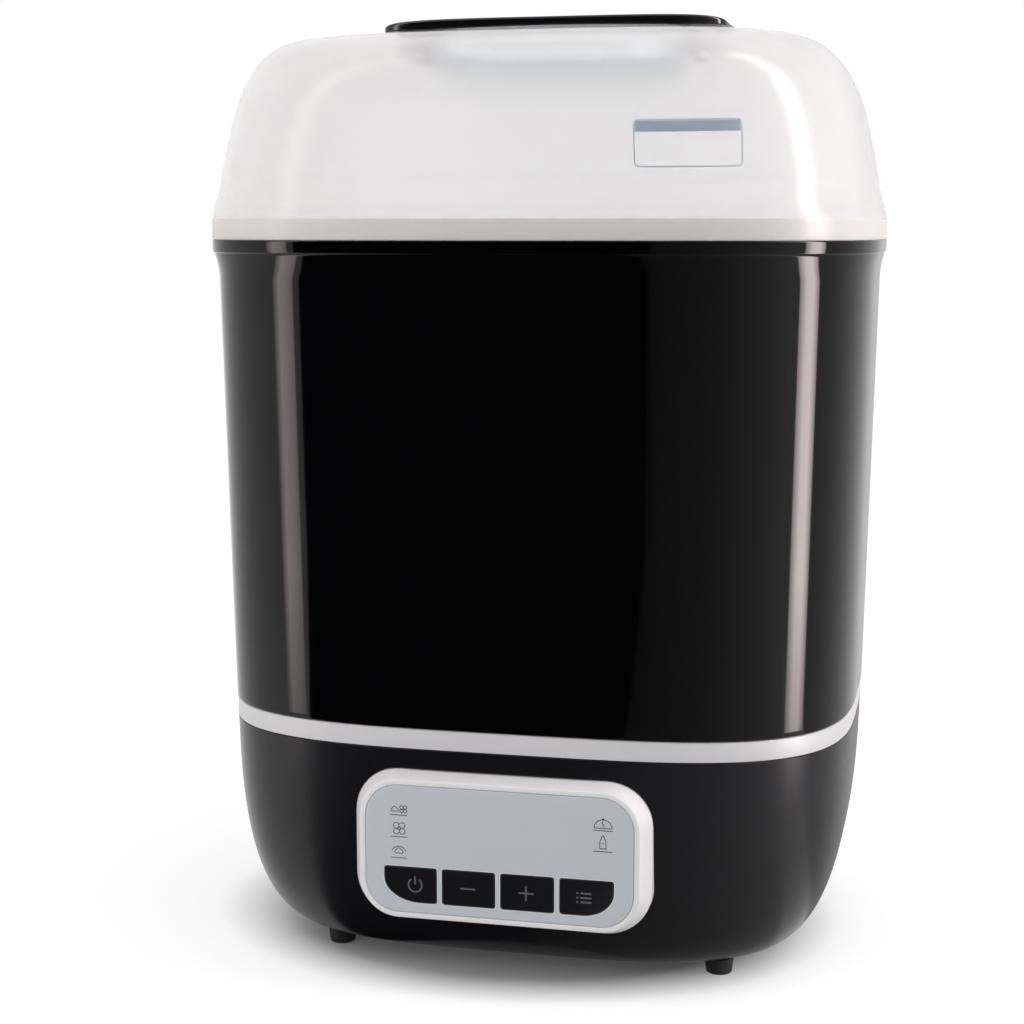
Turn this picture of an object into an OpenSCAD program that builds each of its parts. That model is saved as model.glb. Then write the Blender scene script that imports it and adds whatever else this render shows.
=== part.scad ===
// Steam bottle sterilizer with a warm-air dryer: a heated base with a control panel,
// a lift-off chamber, a bottle rack, an accessory tray and a frosted lid with a grip.
// Millimetres, +Z up, the control panel faces -Y, origin on the floor under the middle.

/* [Plan outline] */
// Width across the rim where the lid meets the chamber
rim_w = 270; // [262:1:284]
// Depth across the same rim
rim_d = 226; // [220:1:240]
// Squareness of the rounded plan outline
plan_power = 3.65; // [3.4:0.05:4.1]

/* [Feet] */
// Height of a foot
foot_h = 6.5; // [5:0.5:9]
// Diameter of a foot where it meets the base
foot_d = 12; // [10:0.5:14]
// Foot axis in from the rim, side to side
foot_inset_x = 55.5; // [53:0.5:58]
// Foot axis in from the rim, front to back
foot_inset_y = 52; // [50:0.5:55]

/* [Base bowl] */
// Height of the bowl from its underside to the pale band
base_h = 90.5; // [88:0.5:98]
// Wall of the bowl
base_wall = 2.6; // [2.2:0.1:3]
// Inset of the bowl's top edge from the rim
base_inset = 6.3; // [5.8:0.1:6.8]
// Lean of the bowl's side, top to bottom
base_lean = 2; // [1:0.5:3]
// Reach of the rounded lower edge
base_round = 36; // [32:1:38]
// Squareness of the rounded lower edge
base_power = 2.8; // [2.6:0.1:3.2]

/* [Deck and heater] */
// Height of the pale band
band_h = 8; // [6:0.5:10]
// Depth of the deck's floor below the band
deck_drop = 7.5; // [6.5:0.5:8]
// Wall of the deck
deck_wall = 2.5; // [2:0.1:3]
// Radius of the hole that the heating dish shows through
plate_r = 60; // [54:1:61]
// Depth of the heating dish
plate_depth = 8; // [6:0.5:9]
// Sheet of the heating dish
plate_t = 1.2; // [0.8:0.1:1.5]
// Thickness of the dish's seal
seal_t = 1.5; // [1:0.1:2]
// Radius of the heating element ring
element_r = 42; // [36:1:44]
// Width of the heating element tube
element_d = 7; // [6:0.5:8]

/* [Blower] */
// Back of the blower in from the rim
fan_inset = 69; // [68:0.5:71]
// Height of the blower's axis over the base's inner floor
fan_rise = 33.9; // [33.5:0.1:35]
// Width of the blower's scroll between its plates
fan_w = 20; // [18:0.5:20]
// Radius of the impeller
impeller_r = 23; // [20:0.5:24]
// Radius of the fan shaft
shaft_r = 1.5; // [1.2:0.1:2]
// Number of impeller blades
blade_count = 24; // [16:1:30]
// Radius of the fan motor
motor_r = 15; // [13:0.5:16]
// Length of the fan motor
motor_l = 24; // [20:1:26]

/* [Air filter] */
// Middle of the filter door, back from the middle
filter_y = 52; // [50:0.5:53]
// Width of the filter door
filter_w = 38; // [34:0.5:40]
// Height of the filter door
filter_h = 44; // [38:0.5:45]
// Top of the filter door below the band
filter_drop = 11; // [10:0.5:13]
// Thickness of the filter pad
filter_t = 8; // [6:0.5:9]

/* [Control panel] */
// Middle of the panel below the band
panel_drop = 38.4; // [38:0.1:40]
// Width of the panel's lens
lens_w = 105.7; // [102:0.1:108]
// Height of the panel's lens
lens_h = 50.7; // [49.5:0.1:51.2]
// Corner radius of the lens
lens_r = 13; // [10:0.5:15]
// Thickness of the lens
lens_t = 2; // [1.5:0.1:2.5]
// Pale rim of the bezel round the lens
bezel_rim = 1.9; // [1.5:0.1:2.2]
// Spread of the bezel's slope, side to side
bezel_spread_x = 4.1; // [3:0.1:4.5]
// Spread of the bezel's slope, up and down
bezel_spread_z = 3; // [2:0.1:3.4]
// Depth of the bezel's sloping side
bezel_slope = 7.5; // [6:0.5:8]
// Depth of the whole bezel
bezel_depth = 20; // [19:0.5:21]
// Width of a key
key_w = 20.7; // [19:0.1:21]
// Height of a key
key_h = 13.8; // [12:0.1:14]
// Distance between neighbouring keys' middles
key_pitch = 23.2; // [22.5:0.1:23.6]
// Middle of the keys below the panel's middle
key_drop = 14.1; // [13.8:0.1:14.3]
// Travel of a key
key_travel = 0.8; // [0.4:0.1:0.9]

/* [Cord gland] */
// Gland axis left of the middle
gland_x = 40; // [36:1:44]
// Gland axis over the base's underside
gland_rise = 27.5; // [26:0.5:32]
// Radius of the gland's cord hole
gland_bore_r = 3.6; // [3:0.1:4.2]

/* [Chamber] */
// Height of the chamber wall
body_h = 187.5; // [176:0.5:210]
// Wall of the chamber
body_wall = 2.8; // [2.4:0.1:3]
// Lean of the chamber's side, bottom to rim
body_lean = 3.4; // [2:0.1:3.6]
// Height of the flared rim
flare_h = 15; // [12:0.5:18]
// Stand-out of the flared rim
flare_out = 2.5; // [1.5:0.1:2.6]

/* [Rack and tray] */
// Thickness of the rack's floor
rack_t = 3; // [2.5:0.1:4]
// Distance between neighbouring bottle posts, side to side
post_pitch_x = 75; // [70:1:76]
// Distance between the two rows of bottle posts
post_pitch_y = 84; // [78:1:90]
// Height of a bottle post
post_h = 50; // [40:1:60]
// Depth of the accessory tray
tray_depth = 36; // [26:1:44]
// Wall of the tray
tray_wall = 2; // [1.6:0.1:2.4]

/* [Lid] */
// Height of the lid
lid_h = 80; // [74:0.5:88]
// Wall of the lid
lid_wall = 2.2; // [1.8:0.1:2.6]
// Height of the lid's upright skirt
skirt_h = 8; // [6:0.5:10]
// Height of the hollow curve above the skirt
sweep_h = 16; // [12:0.5:18]
// Draw-in of the hollow curve above the skirt
sweep_in = 3.6; // [3:0.1:5]
// Lean of the dome's side
dome_lean = 11; // [9:0.5:13]
// Reach of the crown's rounding, side to side
dome_round_x = 38; // [34:1:42]
// Reach of the crown's rounding, front to back
dome_round_y = 44; // [40:1:48]
// Squareness of the dome's crown
dome_power = 4; // [3.6:0.1:4.4]
// Length of the finger well's mouth, side to side
well_l = 101.4; // [98:0.2:105]
// Width of the finger well's mouth, front to back
well_w = 93.4; // [90:0.2:97]
// Depth of the finger well in the crown
well_depth = 20; // [16:0.5:24]
// Length of the grip
grip_l = 143; // [139:1:147]
// Width of the grip
grip_w = 46; // [40:1:50]
// Thickness of the grip
grip_t = 4.6; // [4.2:0.1:6]

/* [Fits] */
// Gap round a piece that lifts, slides or drops in
slide_gap = 0.6; // [0.5:0.1:0.8]
// Gap round a key or a door
part_gap = 0.3; // [0.2:0.05:0.4]
// Radial gap of a shaft or stem that runs in a hole
run_gap = 0.05; // [0.02:0.01:0.1]

/* [Hidden] */
$fn = 48;
ring_points = 48;
bowl_steps = 9;
dome_steps = 8;
flare_steps = 4;
corner_steps = 7;

// Colours
base_black = [0.14, 0.135, 0.15];
gloss_black = [0.03, 0.03, 0.035];
key_black = [0.07, 0.07, 0.08];
rubber_black = [0.05, 0.05, 0.05];
inner_grey = [0.25, 0.25, 0.27];
pale = [0.93, 0.92, 0.92];
rack_white = [0.9, 0.9, 0.9];
steel = [0.72, 0.72, 0.74];
board_green = [0.1, 0.35, 0.2];
lid_frost = [0.93, 0.93, 0.94, 0.55];

// Overrun of a cut past the face that it opens
cut = 1;

// Heights
base_top = foot_h + base_h;
band_top = base_top + band_h;
seam_z = band_top + body_h;
lid_top = seam_z + lid_h;
floor_z = foot_h + base_wall;
deck_under = base_top - deck_drop;
deck_floor = deck_under + deck_wall;

// Screws
screw_r = 1.6;
screw_head_r = 4;
screw_head_t = 2.4;
small_head_r = 3;
small_head_t = 1.5;
hole_r = 1.9;

// Feet and the posts that join the deck to the bowl
foot_x = rim_w / 2 - foot_inset_x;
foot_y = rim_d / 2 - foot_inset_y;
foot_taper = 0.8;
foot_pad_r = foot_d / 2 + 1.5;
foot_pad_t = 6;
foot_stem_r = 2.5;
foot_stem_l = 4;
post_inset_x = 69;
post_inset_y = 61;
post_x = rim_w / 2 - post_inset_x;
post_y = rim_d / 2 - post_inset_y;
post_r = 4.5;
post_gap = 4.92;
post_seat_r = 6;
post_seat_h = 5;
post_seat_z = floor_z + post_seat_h;
post_screw_l = 24;

// Deck
band_proud = 0.1;
band_w = 10.3;
deck_inset = base_inset - band_proud;
deck_inner = deck_inset + band_w;
spigot_inset = base_inset + base_wall + slide_gap;
deck_spigot_h = 6;
deck_spigot_t = 2.4;
deck_lip_h = 4;
ledge_inset = deck_inner - deck_wall - slide_gap;

// Blower
fan_back = rim_w / 2 - fan_inset;
fan_plate_t = 2;
fan_wall = 2;
fan_z = floor_z + fan_rise;
fan_in_x = fan_back + fan_plate_t;
fan_out_x = fan_in_x + fan_w;
scroll_gap = 3;
scroll_growth = 5;
scroll_start = 75;
scroll_step = 15;
scroll_top = 1;
throat_in = 8;
throat_out = impeller_r + scroll_gap + scroll_growth;
throat_h = throat_out - scroll_top;
fan_leg_w = 8;
fan_leg_l = 12;
fan_leg_y = 12;
fan_leg_h = 9;
fan_screw_l = 4;
inlet_lap = 7;
inlet_r = impeller_r - inlet_lap;
impeller_gap = 4;
inlet_gap = 2;
impeller_w = fan_w - impeller_gap - inlet_gap;
blade_t = 1;
blade_l = 6;
blade_ring_t = 1.5;
blade_ring_w = 5;
blade_root = 0.2;
hub_r = 6;
hub_short = 2;
motor_nose_r = 4;
motor_end_t = 2;
motor_screw_r = 10;
motor_screw_l = 5;
shaft_end_gap = 1;
shaft_short = 3;
duct_wall = 2;
duct_ledge = 1;
duct_ledge_h = 2;
air_heater_h = 8;
fin_t = 0.8;
fin_count = 9;
heater_bar = 3;

// Vent hood over the air outlet
collar_h = 6;
hood_gap = 1;
hood_wall = 2;
hood_h = 13;
hood_slot_w = 4;
hood_slot_h = 5;
hood_slot_z = 5;
hood_slot_pitch_x = 7;
hood_slot_pitch_y = 8;

// Heating dish, placed beside the air duct
flange_w = 7;
plate_gap = 9;
plate_x = fan_back - plate_gap - plate_r - flange_w;
post_reach = plate_r + flange_w + post_r + post_gap;
post_left_x = plate_x - sqrt(max(0, post_reach * post_reach - post_y * post_y));
seal_z = deck_under - seal_t;
flange_z = seal_z - plate_t;
dish_z = seal_z - plate_depth;
dish_under = dish_z - plate_t;
dish_wall_run = 9;
clamp_angles = [60, 180, 300];
clamp_t = 2;
clamp_w = 10;
clamp_reach = 4;
clamp_out = 6;
clamp_screw_r = plate_r + flange_w + clamp_out;
clamp_boss_r = 4.5;
clamp_screw_l = 6;
element_sweep = 300;
element_pin_r = 2;
element_pin_l = 10;
element_pin_turn = 3;
thermostat_r = 8;
thermostat_h = 5;
thermostat_offset = 16;
sensor_r = 3;
sensor_h = 10;
blade_terminal = [1, 5, 8];
control_turn = 60;
safety_turn = 180;
sensor_turn = 300;

// Filter door and its tunnel
filter_top = base_top - filter_drop;
filter_z = filter_top - filter_h / 2;
filter_r = 4;
tunnel_wall = 1.6;
tunnel_lip = 2;
tunnel_inset = 39;
tunnel_x = rim_w / 2 - tunnel_inset;
cage_x = tunnel_x + tunnel_lip;
cage_wall = 1.4;
cage_bar = 2;
cage_rib = 6;
louvre_side = 6;
louvre_count = 5;
louvre_h = 2.4;
louvre_pitch = 6.5;
louvre_w = filter_w - 2 * louvre_side;

// Control panel, with the faces of its keys in the plane of the rim's front
key_proud = 0.25;
panel_y = -rim_d / 2 + key_proud;
panel_z = base_top - panel_drop;
bezel_front_w = lens_w + 2 * bezel_rim;
bezel_front_h = lens_h + 2 * bezel_rim;
bezel_front_r = lens_r + bezel_rim;
bezel_edge = 0.8;
bezel_wall = 2.5;
lens_back = panel_y + lens_t;
key_pocket = 3.5;
guide_y = lens_back + key_pocket;
guide_t = 3;
guide_back = guide_y + guide_t;
board_t = 1.6;
board_stand = 7.5;
board_y = guide_back + board_stand;
board_gap = 2.8;
board_post_in = 6.7;
board_post_x = lens_w / 2 + bezel_rim + bezel_spread_x - bezel_wall - board_gap - board_post_in;
board_post_z = lens_h / 2 + bezel_rim + bezel_spread_z - bezel_wall - board_gap - board_post_in;
board_post_r = 3;
board_screw_l = 6;
display_w = 76;
display_h = 25;
display_rise = 9.4;
display_gap = 1;
key_r = 1;
key_corner_r = 8;
key_flange = 0.7;
key_flange_t = 1;
key_flange_gap = 0.2;
stem_r = 1.6;
switch_w = 6;
switch_h = 3.4;
plunger_r = 1.7;
plunger_h = 1;
press_gap = 0.1;
stem_end = board_y - switch_h - plunger_h - key_travel - press_gap;

// Power board
power_w = 70;
power_inset = 88;
power_rise = 9;
power_x = power_inset - rim_w / 2;
power_z = floor_z + power_rise;
standoff = 30;
standoff_r = 3.5;
relay_size = [19, 15, 15];
relay_place = [8, -20];
transformer_size = [22, 20, 18];
transformer_place = [-22, 4];
terminal_size = [12, 24, 12];
terminal_place = [-24, -26];
capacitor_place = [16, 14];
capacitor_r = 6;
capacitor_h = 18;
power_screw_l = 7;

// Cord gland
gland_z = foot_h + gland_rise;
gland_inset = 10;
gland_seat_y = rim_d / 2 - gland_inset;
gland_seat_l = 17;
gland_seat_r = 11;
gland_r = 6;
gland_flange_r = 9;
gland_flange_t = 3;
gland_nut_t = 5;
gland_tail = 1;
gland_l = gland_seat_l + gland_nut_t + gland_tail;

// Chamber
body_bottom_inset = flare_out + body_lean;
body_roll = 1.5;
ledge_h = 7;
ledge_z = band_top + ledge_h;
rim_edge = 0.6;
rim_face = 3;
tray_sink = 6;
rim_inner = 4;
tray_ledge_w = 4;
tray_ledge_z = seam_z - tray_sink;
bead_edge = 2;
bead_h = 9;
bead_inner = rim_inner + tray_ledge_w;

// Rack
rack_gap = 1;
rack_inset = max(body_bottom_inset + body_wall, bead_inner) + rack_gap;
rack_top = ledge_z + rack_t;
rack_slot_w = 4;
rack_slot_pitch = 10.5;
rack_slot_in = 11;
rack_slot_edge = 26.3;
rack_slot_l = rim_d / 2 - rack_inset - rack_slot_edge - rack_slot_in;
rack_slot_y = rack_slot_in + rack_slot_l / 2;
rack_margin = 18;
post_foot_w = 44;
post_tip_w = 18;
post_fin_t = 3;
post_root = 0.5;
seat_r = 32;
seat_t = 2;
seat_h = 5;
lift_r = 5;
lift_knob_r = 10;
lift_knob_h = 14;
lift_knob_cone = 8;
lift_knob_edge = 2;
lift_gap = 12;

// Tray
tray_flange_t = 2;
tray_flange_inset = rim_inner + slide_gap;
tray_wall_gap = 1;
tray_wall_inset = bead_inner + tray_wall_gap;
tray_floor = tray_ledge_z + tray_flange_t - tray_depth;
tray_floor_t = 2.5;
tray_slot_w = 4;
tray_slot_pitch = 12;
tray_slot_in = 12;
tray_slot_edge = 38;
tray_slot_l = rim_d / 2 - tray_wall_inset - tray_wall - tray_slot_edge - tray_slot_in;
tray_slot_y = tray_slot_in + tray_slot_l / 2;
tray_margin = 20;
divider_x = 42;
divider_t = 2;
divider_h = 18;

// Lid
lip_gap = 0.7;
lip_inset = rim_inner + lip_gap;
lip_in = sweep_in + lid_wall;
lip_clear = 0.4;
lip_z = tray_ledge_z + tray_flange_t + lip_clear;
dome_z = seam_z + skirt_h + sweep_h;
dome_h = lid_top - dome_z;
crown_x = (rim_w - well_l) / 2;
crown_y = (rim_d - well_w) / 2;
crown_slack = 4;
well_edge = 2.5;
well_draft = 1;
well_fillet = 4;
well_out = well_edge - lid_wall;
well_top = lid_top - well_edge;
well_z = lid_top - well_depth;
well_slot_w = 3;
well_slot_l = 34;
well_slot_pitch = 9;
well_slot_count = 7;
pad_r = 7;
pad_rise = 5;
pad_t = 4.5;
pad_in = 12;
pad_x = grip_l / 2 - pad_in;
pad_y = 10;
grip_z = lid_top + pad_rise;
grip_end_power = 4;
grip_plan_power = 8;
grip_steps = 12;
grip_arch = 1;
grip_screw_l = 12;

// One ring of the rounded plan outline, set in from the rim, at height z
function signed_power(v, e) = sign(v) * pow(abs(v), e);
function plan_ring(inset_x, inset_y, z) =
    let (e = 2 / plan_power)
    [for (i = [0 : ring_points - 1])
        let (t = 360 * i / ring_points)
        [(rim_w / 2 - inset_x) * signed_power(cos(t), e),
         (rim_d / 2 - inset_y) * signed_power(sin(t), e), z]];
function even_ring(inset, z) = plan_ring(inset, inset, z);
function flat_ring(inset) = [for (p = even_ring(inset, 0)) [p.x, p.y]];

// Sink of a rounded edge at angle phi, as shares of its height and of its reach
function edge_rise(phi, power) = pow(sin(phi), 2 / power);
function edge_reach(phi, power) = 1 - pow(cos(phi), 2 / power);
function ease(v) = v * v * (3 - 2 * v);

// Triangles between two rings of n points that start at points a and b
function band_faces(a, b, n) =
    [for (j = [0 : n - 1])
        let (k = (j + 1) % n)
        each [[a + j, b + j, b + k], [a + j, b + k, a + k]]];

// Solid between rings, with flat ends
module capped_skin(rings) {
    n = len(rings[0]);
    m = len(rings);
    sides = [for (i = [0 : m - 2]) each band_faces(i * n, (i + 1) * n, n)];
    first = [for (j = [0 : n - 1]) j];
    last = [for (j = [n - 1 : -1 : 0]) (m - 1) * n + j];
    polyhedron([for (r = rings) each r], concat(sides, [first], [last]), convexity = 10);
}

// Hollow solid whose rings run up its outside and down its inside
module hoop_skin(rings) {
    n = len(rings[0]);
    m = len(rings);
    sides = [for (i = [0 : m - 1]) each band_faces(i * n, ((i + 1) % m) * n, n)];
    polyhedron([for (r = rings) each r], sides, convexity = 10);
}

// Upright wall or plate that follows the plan outline
module plan_plate(inset, z0, z1) {
    translate([0, 0, z0]) linear_extrude(z1 - z0) polygon(flat_ring(inset));
}
module plan_wall(outer, inner, z0, z1) {
    translate([0, 0, z0]) linear_extrude(z1 - z0) difference() {
        polygon(flat_ring(outer));
        polygon(flat_ring(inner));
    }
}

// Rounded rectangle, as a flat shape and as a ring of points
module round_plate(w, h, r) {
    square([w - 2 * r, h], center = true);
    square([w, h - 2 * r], center = true);
    for (sx = [-1, 1], sy = [-1, 1])
        translate([sx * (w / 2 - r), sy * (h / 2 - r)]) circle(r);
}
function round_ring(w, h, r) =
    [for (c = [0 : 3]) for (s = [0 : corner_steps])
        let (t = 90 * (c + s / corner_steps))
        [(c == 0 || c == 3 ? 1 : -1) * (w / 2 - r) + r * cos(t),
         (c < 2 ? 1 : -1) * (h / 2 - r) + r * sin(t)]];

// Slot with round ends, its length along Y
module slot(w, l) {
    square([w, l - w], center = true);
    for (s = [-1, 1]) translate([0, s * (l - w) / 2]) circle(w / 2);
}

// Flat shape set upright: along_x grows towards +X, towards_front grows towards -Y
module along_x(x0, x1) {
    translate([x0, 0, 0]) rotate([90, 0, 90]) linear_extrude(x1 - x0) children();
}
module towards_front(y_back, y_front) {
    translate([0, y_back, panel_z]) rotate([90, 0, 0]) linear_extrude(y_back - y_front) children();
}

// Copies at the four corners
module at_corners(x, y) {
    for (sx = [-1, 1], sy = [-1, 1]) translate([sx * x, sy * y, 0]) children();
}

// Copies at the posts: two beside the blower and two past the heating dish
module at_posts() {
    for (s = [-1, 1]) {
        translate([post_x, s * post_y, 0]) children();
        translate([post_left_x, s * post_y, 0]) children();
    }
}

// Screw with its head's seat at z = 0 and its shank upwards
module screw(length, head_r = screw_head_r, head_t = screw_head_t) {
    translate([0, 0, -head_t]) cylinder(r = head_r, h = head_t);
    cylinder(r = screw_r, h = length);
}
module pilot(length) {
    cylinder(r = screw_r + run_gap, h = length);
}

// Base bowl
function bowl_rings(wall, floor_t) =
    [for (k = [bowl_steps : -1 : 0])
        let (phi = 90 * k / bowl_steps)
        let (u = edge_rise(phi, base_power))
        let (s = base_inset + wall + base_lean * u + base_round * edge_reach(phi, base_power))
        even_ring(s, base_top - (base_h - floor_t) * u)];
function turned(list) = [for (i = [len(list) - 1 : -1 : 0]) list[i]];

module bowl_solid() {
    capped_skin(bowl_rings(0, 0));
}
module bowl_hollow() {
    capped_skin(concat(bowl_rings(base_wall, base_wall), [even_ring(base_inset + base_wall, band_top)]));
}

// Outline of the filter door, set out or in by grow
module filter_outline(grow) {
    translate([filter_y, filter_z])
        round_plate(filter_w + 2 * grow, filter_h + 2 * grow, filter_r + grow);
}

module gland_axis() {
    translate([-gland_x, gland_seat_y, gland_z]) rotate([90, 0, 0]) children();
}

module base_shell() {
    color(base_black) difference() {
        union() {
            capped_skin(concat(bowl_rings(0, 0), turned(bowl_rings(base_wall, base_wall))));
            intersection() {
                bowl_solid();
                along_x(tunnel_x, rim_w / 2) difference() {
                    filter_outline(tunnel_wall);
                    filter_outline(0);
                }
            }
            at_corners(foot_x, foot_y) translate([0, 0, foot_h]) cylinder(r = foot_pad_r, h = foot_pad_t);
            at_posts()
                translate([0, 0, foot_h]) cylinder(r = post_seat_r, h = post_seat_z - foot_h);
            translate([power_x, 0, 0]) at_corners(standoff, standoff)
                translate([0, 0, foot_h + base_wall / 2])
                    cylinder(r = standoff_r, h = power_z - foot_h - base_wall / 2);
            gland_axis() cylinder(r = gland_seat_r, h = gland_seat_l);
        }
        along_x(tunnel_x - cut, rim_w / 2 + cut) filter_outline(0);
        towards_front(panel_y + bezel_depth + cut, panel_y - cut) bezel_shape(1, part_gap);
        at_corners(foot_x, foot_y)
            translate([0, 0, foot_h]) cylinder(r = foot_stem_r + run_gap, h = foot_stem_l + run_gap);
        at_posts() translate([0, 0, foot_h]) {
            cylinder(r = screw_head_r + part_gap, h = screw_head_t);
            cylinder(r = hole_r, h = post_seat_z);
        }
        for (s = [-1, 1]) translate([fan_back + fan_leg_l / 2, s * fan_leg_y, 0]) {
            cylinder(r = hole_r, h = floor_z + cut);
            cylinder(r = screw_head_r + part_gap, h = foot_h + base_wall / 2);
        }
        translate([power_x, 0, power_z - power_screw_l]) at_corners(standoff, standoff)
            pilot(power_screw_l + cut);
        gland_axis() translate([0, 0, -cut]) cylinder(r = gland_r + run_gap, h = gland_seat_l + 2 * cut);
    }
}

module foot(sx, sy) {
    color(rubber_black) translate([sx * foot_x, sy * foot_y, 0]) rotate_extrude() polygon([
        [0, 0], [foot_d / 2 - foot_taper, 0], [foot_d / 2, foot_h],
        [foot_stem_r, foot_h], [foot_stem_r, foot_h + foot_stem_l], [0, foot_h + foot_stem_l]
    ]);
}
module foot_front_left() { foot(-1, -1); }
module foot_front_right() { foot(1, -1); }
module foot_rear_left() { foot(-1, 1); }
module foot_rear_right() { foot(1, 1); }

// Flat outline of the air passage between the deck and the blower
module passage(grow) {
    translate([fan_in_x - grow, throat_in - grow])
        square([fan_w + 2 * grow, throat_out - throat_in + 2 * grow]);
}

module deck() {
    color(pale) difference() {
        union() {
            plan_plate(deck_inner - deck_wall, deck_under, deck_floor);
            translate([0, 0, deck_floor]) linear_extrude(collar_h) passage(duct_wall);
            at_posts()
                translate([0, 0, post_seat_z]) cylinder(r = post_r, h = deck_floor - post_seat_z);
            clamp_places() translate([0, 0, flange_z])
                cylinder(r = clamp_boss_r, h = deck_floor - flange_z);
        }
        translate([plate_x, 0, deck_under - cut]) cylinder(r = plate_r, h = deck_wall + 2 * cut);
        translate([0, 0, deck_under - cut]) linear_extrude(collar_h + deck_wall + 2 * cut) passage(0);
        at_posts() translate([0, 0, post_seat_z - cut]) pilot(post_screw_l);
        clamp_places() translate([0, 0, flange_z - cut]) pilot(clamp_screw_l - clamp_t + cut);
    }
}

// Pale rim that stands on the deck: the band that shows, its spigot in the bowl and the deck's wall
module deck_rim() {
    color(pale) {
        plan_wall(deck_inset, deck_inner, base_top, band_top);
        plan_wall(spigot_inset, spigot_inset + deck_spigot_t, base_top - deck_spigot_h, base_top);
        plan_wall(deck_inner - deck_wall, deck_inner, deck_floor, band_top + deck_lip_h);
    }
}

module base_screws() {
    color(steel) at_posts()
        translate([0, 0, foot_h + screw_head_t]) screw(post_screw_l);
}

module clamp_places() {
    for (t = clamp_angles) translate([plate_x, 0, 0]) rotate(t) translate([clamp_screw_r, 0, 0]) children();
}

module heating_plate() {
    color(steel) translate([plate_x, 0, 0]) rotate_extrude() polygon([
        [0, dish_under], [plate_r - dish_wall_run, dish_under], [plate_r - plate_t / 2, flange_z],
        [plate_r + flange_w, flange_z], [plate_r + flange_w, seal_z], [plate_r - plate_t, seal_z],
        [plate_r - dish_wall_run - plate_t / 2, dish_z], [0, dish_z]
    ]);
}

module plate_seal() {
    color([0.85, 0.85, 0.8]) translate([plate_x, 0, seal_z]) difference() {
        cylinder(r = plate_r + flange_w, h = seal_t);
        translate([0, 0, -cut]) cylinder(r = plate_r, h = seal_t + 2 * cut);
    }
}

module heating_element() {
    half = element_d / 2;
    color([0.55, 0.55, 0.57]) translate([plate_x, 0, dish_under - element_d]) {
        rotate((360 - element_sweep) / 2) rotate_extrude(angle = element_sweep) translate([element_r, 0]) {
            translate([0, half]) circle(half);
            translate([-half, half]) square([element_d, half]);
        }
        for (s = [-1, 1]) rotate(s * ((360 - element_sweep) / 2 + element_pin_turn))
            translate([element_r, 0, half - element_pin_l]) cylinder(r = element_pin_r, h = element_pin_l);
    }
}

module plate_clamps() {
    color(steel) clamp_places() translate([0, 0, flange_z - clamp_t]) difference() {
        translate([-clamp_out - clamp_reach, -clamp_w / 2, 0])
            cube([clamp_out + clamp_reach + clamp_boss_r, clamp_w, clamp_t]);
        translate([0, 0, -cut]) cylinder(r = hole_r, h = clamp_t + 2 * cut);
    }
}

module clamp_screws() {
    color(steel) clamp_places() translate([0, 0, flange_z - clamp_t]) screw(clamp_screw_l - cut);
}

// Disc thermostat that lies against the underside of the dish
module thermostat(angle) {
    translate([plate_x, 0, dish_under]) rotate(angle) translate([thermostat_offset, 0, -thermostat_h]) {
        cylinder(r = thermostat_r, h = thermostat_h);
        for (s = [-1, 1]) translate([-blade_terminal.x / 2 + s * thermostat_r / 2, -blade_terminal.y / 2,
            -blade_terminal.z]) cube(blade_terminal);
    }
}
module control_thermostat() { color(inner_grey) thermostat(control_turn); }
module safety_thermostat() { color([0.45, 0.3, 0.2]) thermostat(safety_turn); }

module temperature_sensor() {
    color([0.75, 0.6, 0.3]) translate([plate_x, 0, dish_under]) rotate(sensor_turn)
        translate([thermostat_offset, 0, -sensor_h]) cylinder(r = sensor_r, h = sensor_h);
}

// Outline of the blower's scroll in the plane across its axis
function scroll_ring(grow) = concat(
    [for (t = [scroll_start : scroll_step : 360])
        let (r = impeller_r + scroll_gap + grow
            + scroll_growth * (t - scroll_start) / (360 - scroll_start))
        [r * cos(t), r * sin(t)]],
    [[throat_out + grow, throat_h], [throat_in - grow, throat_h]]);
module scroll_outline(grow) {
    translate([0, fan_z]) polygon(scroll_ring(grow));
}

module fan_scroll() {
    color(inner_grey) difference() {
        union() {
            along_x(fan_back, fan_out_x) scroll_outline(fan_wall);
            for (s = [-1, 1]) translate([fan_back, s * fan_leg_y - fan_leg_w / 2, floor_z])
                cube([fan_leg_l, fan_leg_w, fan_leg_h]);
        }
        along_x(fan_in_x, fan_out_x + cut) {
            scroll_outline(0);
            translate([throat_in, fan_z + throat_h - cut]) square([throat_out - throat_in, 2 * cut]);
        }
        along_x(fan_back - cut, fan_in_x + cut) translate([0, fan_z]) {
            circle(motor_nose_r + run_gap);
            for (s = [-1, 1]) translate([s * motor_screw_r, 0]) circle(hole_r);
        }
        for (s = [-1, 1]) translate([fan_back + fan_leg_l / 2, s * fan_leg_y, floor_z - cut])
            pilot(fan_screw_l + cut);
    }
}

module fan_cover() {
    color(inner_grey) along_x(fan_out_x, fan_out_x + fan_plate_t) difference() {
        scroll_outline(fan_wall);
        translate([0, fan_z]) circle(inlet_r);
    }
}

module fan_axis(x) {
    translate([x, 0, fan_z]) rotate([0, 90, 0]) children();
}

module fan_motor() {
    color([0.6, 0.6, 0.62]) difference() {
        union() {
            fan_axis(fan_back - motor_l) cylinder(r = motor_r, h = motor_l);
            fan_axis(fan_back) cylinder(r = motor_nose_r, h = fan_plate_t);
        }
        fan_axis(fan_back - motor_l + motor_end_t)
            cylinder(r = shaft_r + run_gap, h = motor_l + fan_plate_t);
        for (s = [-1, 1]) translate([0, s * motor_screw_r, 0])
            fan_axis(fan_back - motor_screw_l - cut) pilot(motor_screw_l + 2 * cut);
    }
}

module fan_shaft() {
    x0 = fan_back - motor_l + motor_end_t + shaft_end_gap;
    color(steel) fan_axis(x0)
        cylinder(r = shaft_r, h = fan_in_x + impeller_gap + impeller_w - shaft_short - x0);
}

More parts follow.
